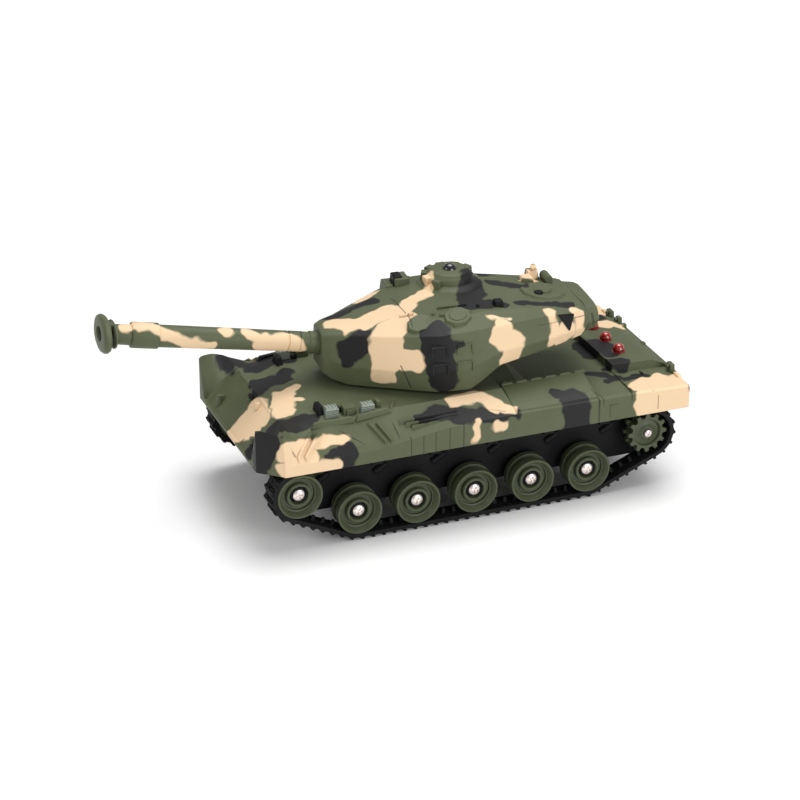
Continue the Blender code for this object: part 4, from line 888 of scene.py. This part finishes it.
TURRET_SEAMS = (
    (TOP_FACE, (((10, -8, 108), (10, 18, 108), 0.35), ((10, 18, 108), (12, 28, 108), 0.35),
                ((40, -5, 108), (40, 9, 108), 0.35), ((-90.5, -18, 103), (-90.5, 26, 103), 0.35),
                ((-27, -24, 108), (-27, 16, 108), 0.3), ((28, -10, 108), (40, -5, 108), 0.3))),
    (SIDE_WALL, (((20, 32, 86), (14, 32, 72), 0.35), ((-90.5, 20, 103), (-90.5, 31, 88), 0.35),
                 ((-93.5, 25, 96.5), (-93.5, 25, 91.5), 0.8), ((-58, 34, 99), (-88, 30, 98), 0.3))))


def far_side(marks, shift):
    """The strokes of the left flank again on the right one, moved along it."""
    return tuple(((a[0] + shift, -a[1], a[2]), (b[0] + shift, -b[1], b[2]), radius)
                 for a, b, radius in marks if a[1] > 20 and b[1] > 20)


def strokes(finish, place, marks):
    """How deep a place lies inside the nearest stroke, in millimetres."""
    depth = None
    for start, end, radius in marks:
        start, end = Vector(start), Vector(end)
        line = end - start
        away = finish.vector("SUBTRACT", place, tuple(start))
        if line.length > 0.01:
            along = finish.vector("DOT_PRODUCT", away, tuple(line / line.length_squared), output=1)
            share = finish.maths("ADD", along, 0.0, clamp=True)
            scaled = finish.node("ShaderNodeVectorMath", {"operation": "SCALE"}, {0: tuple(line), 3: share})
            away = finish.vector("SUBTRACT", away, scaled)
        inside = radius - finish.vector("LENGTH", away, output=1)
        depth = inside if depth is None else finish.maths("MAXIMUM", depth, inside)
    return depth


def camouflage(finish, charcoal, sand, seams=()):
    """Olive, then each colour's strokes with wandering edges, then the seams and a fine grain."""
    place = finish.place()
    wander = finish.noise(place, 0.12, 1.0, output=1)
    wander = finish.vector("SUBTRACT", wander, (0.5, 0.5, 0.5))
    strayed = finish.node("ShaderNodeVectorMath", {"operation": "MULTIPLY_ADD"},
                          {0: wander, 1: (7, 7, 7), 2: place})
    cloud = finish.noise(place, 0.05, 4.0)
    colour = finish.blend(cloud, DEEP_OLIVE, OLIVE)
    for marks, shade in ((charcoal, CHARCOAL), (sand, SAND)):
        if marks:
            depth = strokes(finish, strayed, marks)
            cover = finish.maths("MULTIPLY_ADD", depth, SPRAY_EDGE, 0.5, clamp=True)
            colour = finish.blend(cover, colour, shade)
    grain = finish.noise(place, 1.6, 3.0)
    height = grain * 0.25 + 0.75
    for squash, marks in seams:
        flat = finish.vector("MULTIPLY", place, squash)
        flatten = Matrix.Diagonal(squash)
        marks = [(flatten @ Vector(a), flatten @ Vector(b), radius) for a, b, radius in marks]
        groove = finish.maths("MULTIPLY_ADD", strokes(finish, flat, marks), SEAM_EDGE, 0.5, clamp=True)
        colour = finish.blend(groove * 0.65, colour, SEAM_SHADOW)
        height = height - groove * 0.7
    finish.set("Base Color", colour)
    finish.set("Roughness", 0.5 + (grain - 0.5) * 0.2)
    finish.relief(height, 0.25, 0.5)


def within(marks, low, high):
    """The strokes that touch a length of the hull."""
    return tuple((start, end, radius) for start, end, radius in marks
                 if max(start[0], end[0]) > low and min(start[0], end[0]) < high)


# Both halves of the hull's paint know the strokes that cross the line between them.
OVERLAP = 12
BEYOND = 200
for finish, low, high in ((hull_paint, PAINT_CHANGE - OVERLAP, BEYOND),
                          (rear_paint, -BEYOND, PAINT_CHANGE + OVERLAP)):
    camouflage(finish, within(HULL_CHARCOAL + far_side(HULL_CHARCOAL, -14), low, high),
               within(HULL_SAND + far_side(HULL_SAND, -9), low, high),
               [(squash, within(marks, low, high)) for squash, marks in HULL_SEAMS])
camouflage(turret_paint, TURRET_CHARCOAL + far_side(TURRET_CHARCOAL, -22),
           TURRET_SAND + far_side(TURRET_SAND, -8), TURRET_SEAMS)
camouflage(gun_paint, (), GUN_SAND)


# ---- Studio ---------------------------------------------------------------------------------
# Plain white floor, three large soft lights and a bright surround, with the camera high off the
# tank's left front.
floor = bpy.data.meshes.new("studio_floor")
ground = bmesh.new()
bmesh.ops.create_grid(ground, x_segments=1, y_segments=1, size=12)
bmesh.ops.translate(ground, vec=(0, 0, -0.0002), verts=ground.verts)
ground.to_mesh(floor)
ground.free()
paper = Finish("studio_paper", Roughness=0.9)
tone = paper.noise(paper.node("ShaderNodeTexCoord", {}, {}, 3), 2.0, 2.0)
paper.set("Base Color", paper.blend(tone, (0.86, 0.86, 0.86, 1), (0.88, 0.88, 0.88, 1)))
floor.materials.append(paper.material)
floor_piece = bpy.data.objects.new("studio_floor", floor)
bpy.context.scene.collection.objects.link(floor_piece)
floor_piece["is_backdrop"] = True

surround = bpy.data.worlds.new("studio_surround")
surround.use_nodes = True
surround.node_tree.nodes["Background"].inputs["Color"].default_value = (1, 1, 1, 1)
surround.node_tree.nodes["Background"].inputs["Strength"].default_value = 0.38
bpy.context.scene.world = surround
for name, spot, size, power in (("key", (-0.5, -0.4, 2.3), 1.7, 50.0), ("fill", (-0.9, 2.2, 0.75), 1.5, 34.0),
                                ("front", (2.0, 0.3, 1.4), 1.2, 14.0)):
    lamp_data = bpy.data.lights.new(name + "_light", "AREA")
    lamp_data.size = size
    lamp_data.energy = power
    light = bpy.data.objects.new(name + "_light", lamp_data)
    light.location = spot
    light.rotation_euler = (Vector((0, 0, 0.05)) - Vector(spot)).to_track_quat("-Z", "Y").to_euler()
    bpy.context.scene.collection.objects.link(light)

TARGET = HULL @ Vector((8.12, 0.0, 49.73))
BACK = Vector((0.3281, 0.8394, 0.4335)).normalized()
CAMERA_DISTANCE = 1.4973
LENS = 122.443
camera_data = bpy.data.cameras.new("studio_camera")
camera_data.sensor_width = 36.0
camera_data.lens = LENS
camera = bpy.data.objects.new("studio_camera", camera_data)
camera.location = TARGET + BACK * CAMERA_DISTANCE
camera.rotation_euler = BACK.to_track_quat("Z", "Y").to_euler()
bpy.context.scene.collection.objects.link(camera)
bpy.context.scene.camera = camera
bpy.context.scene.view_settings.view_transform = "Standard"

low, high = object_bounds()
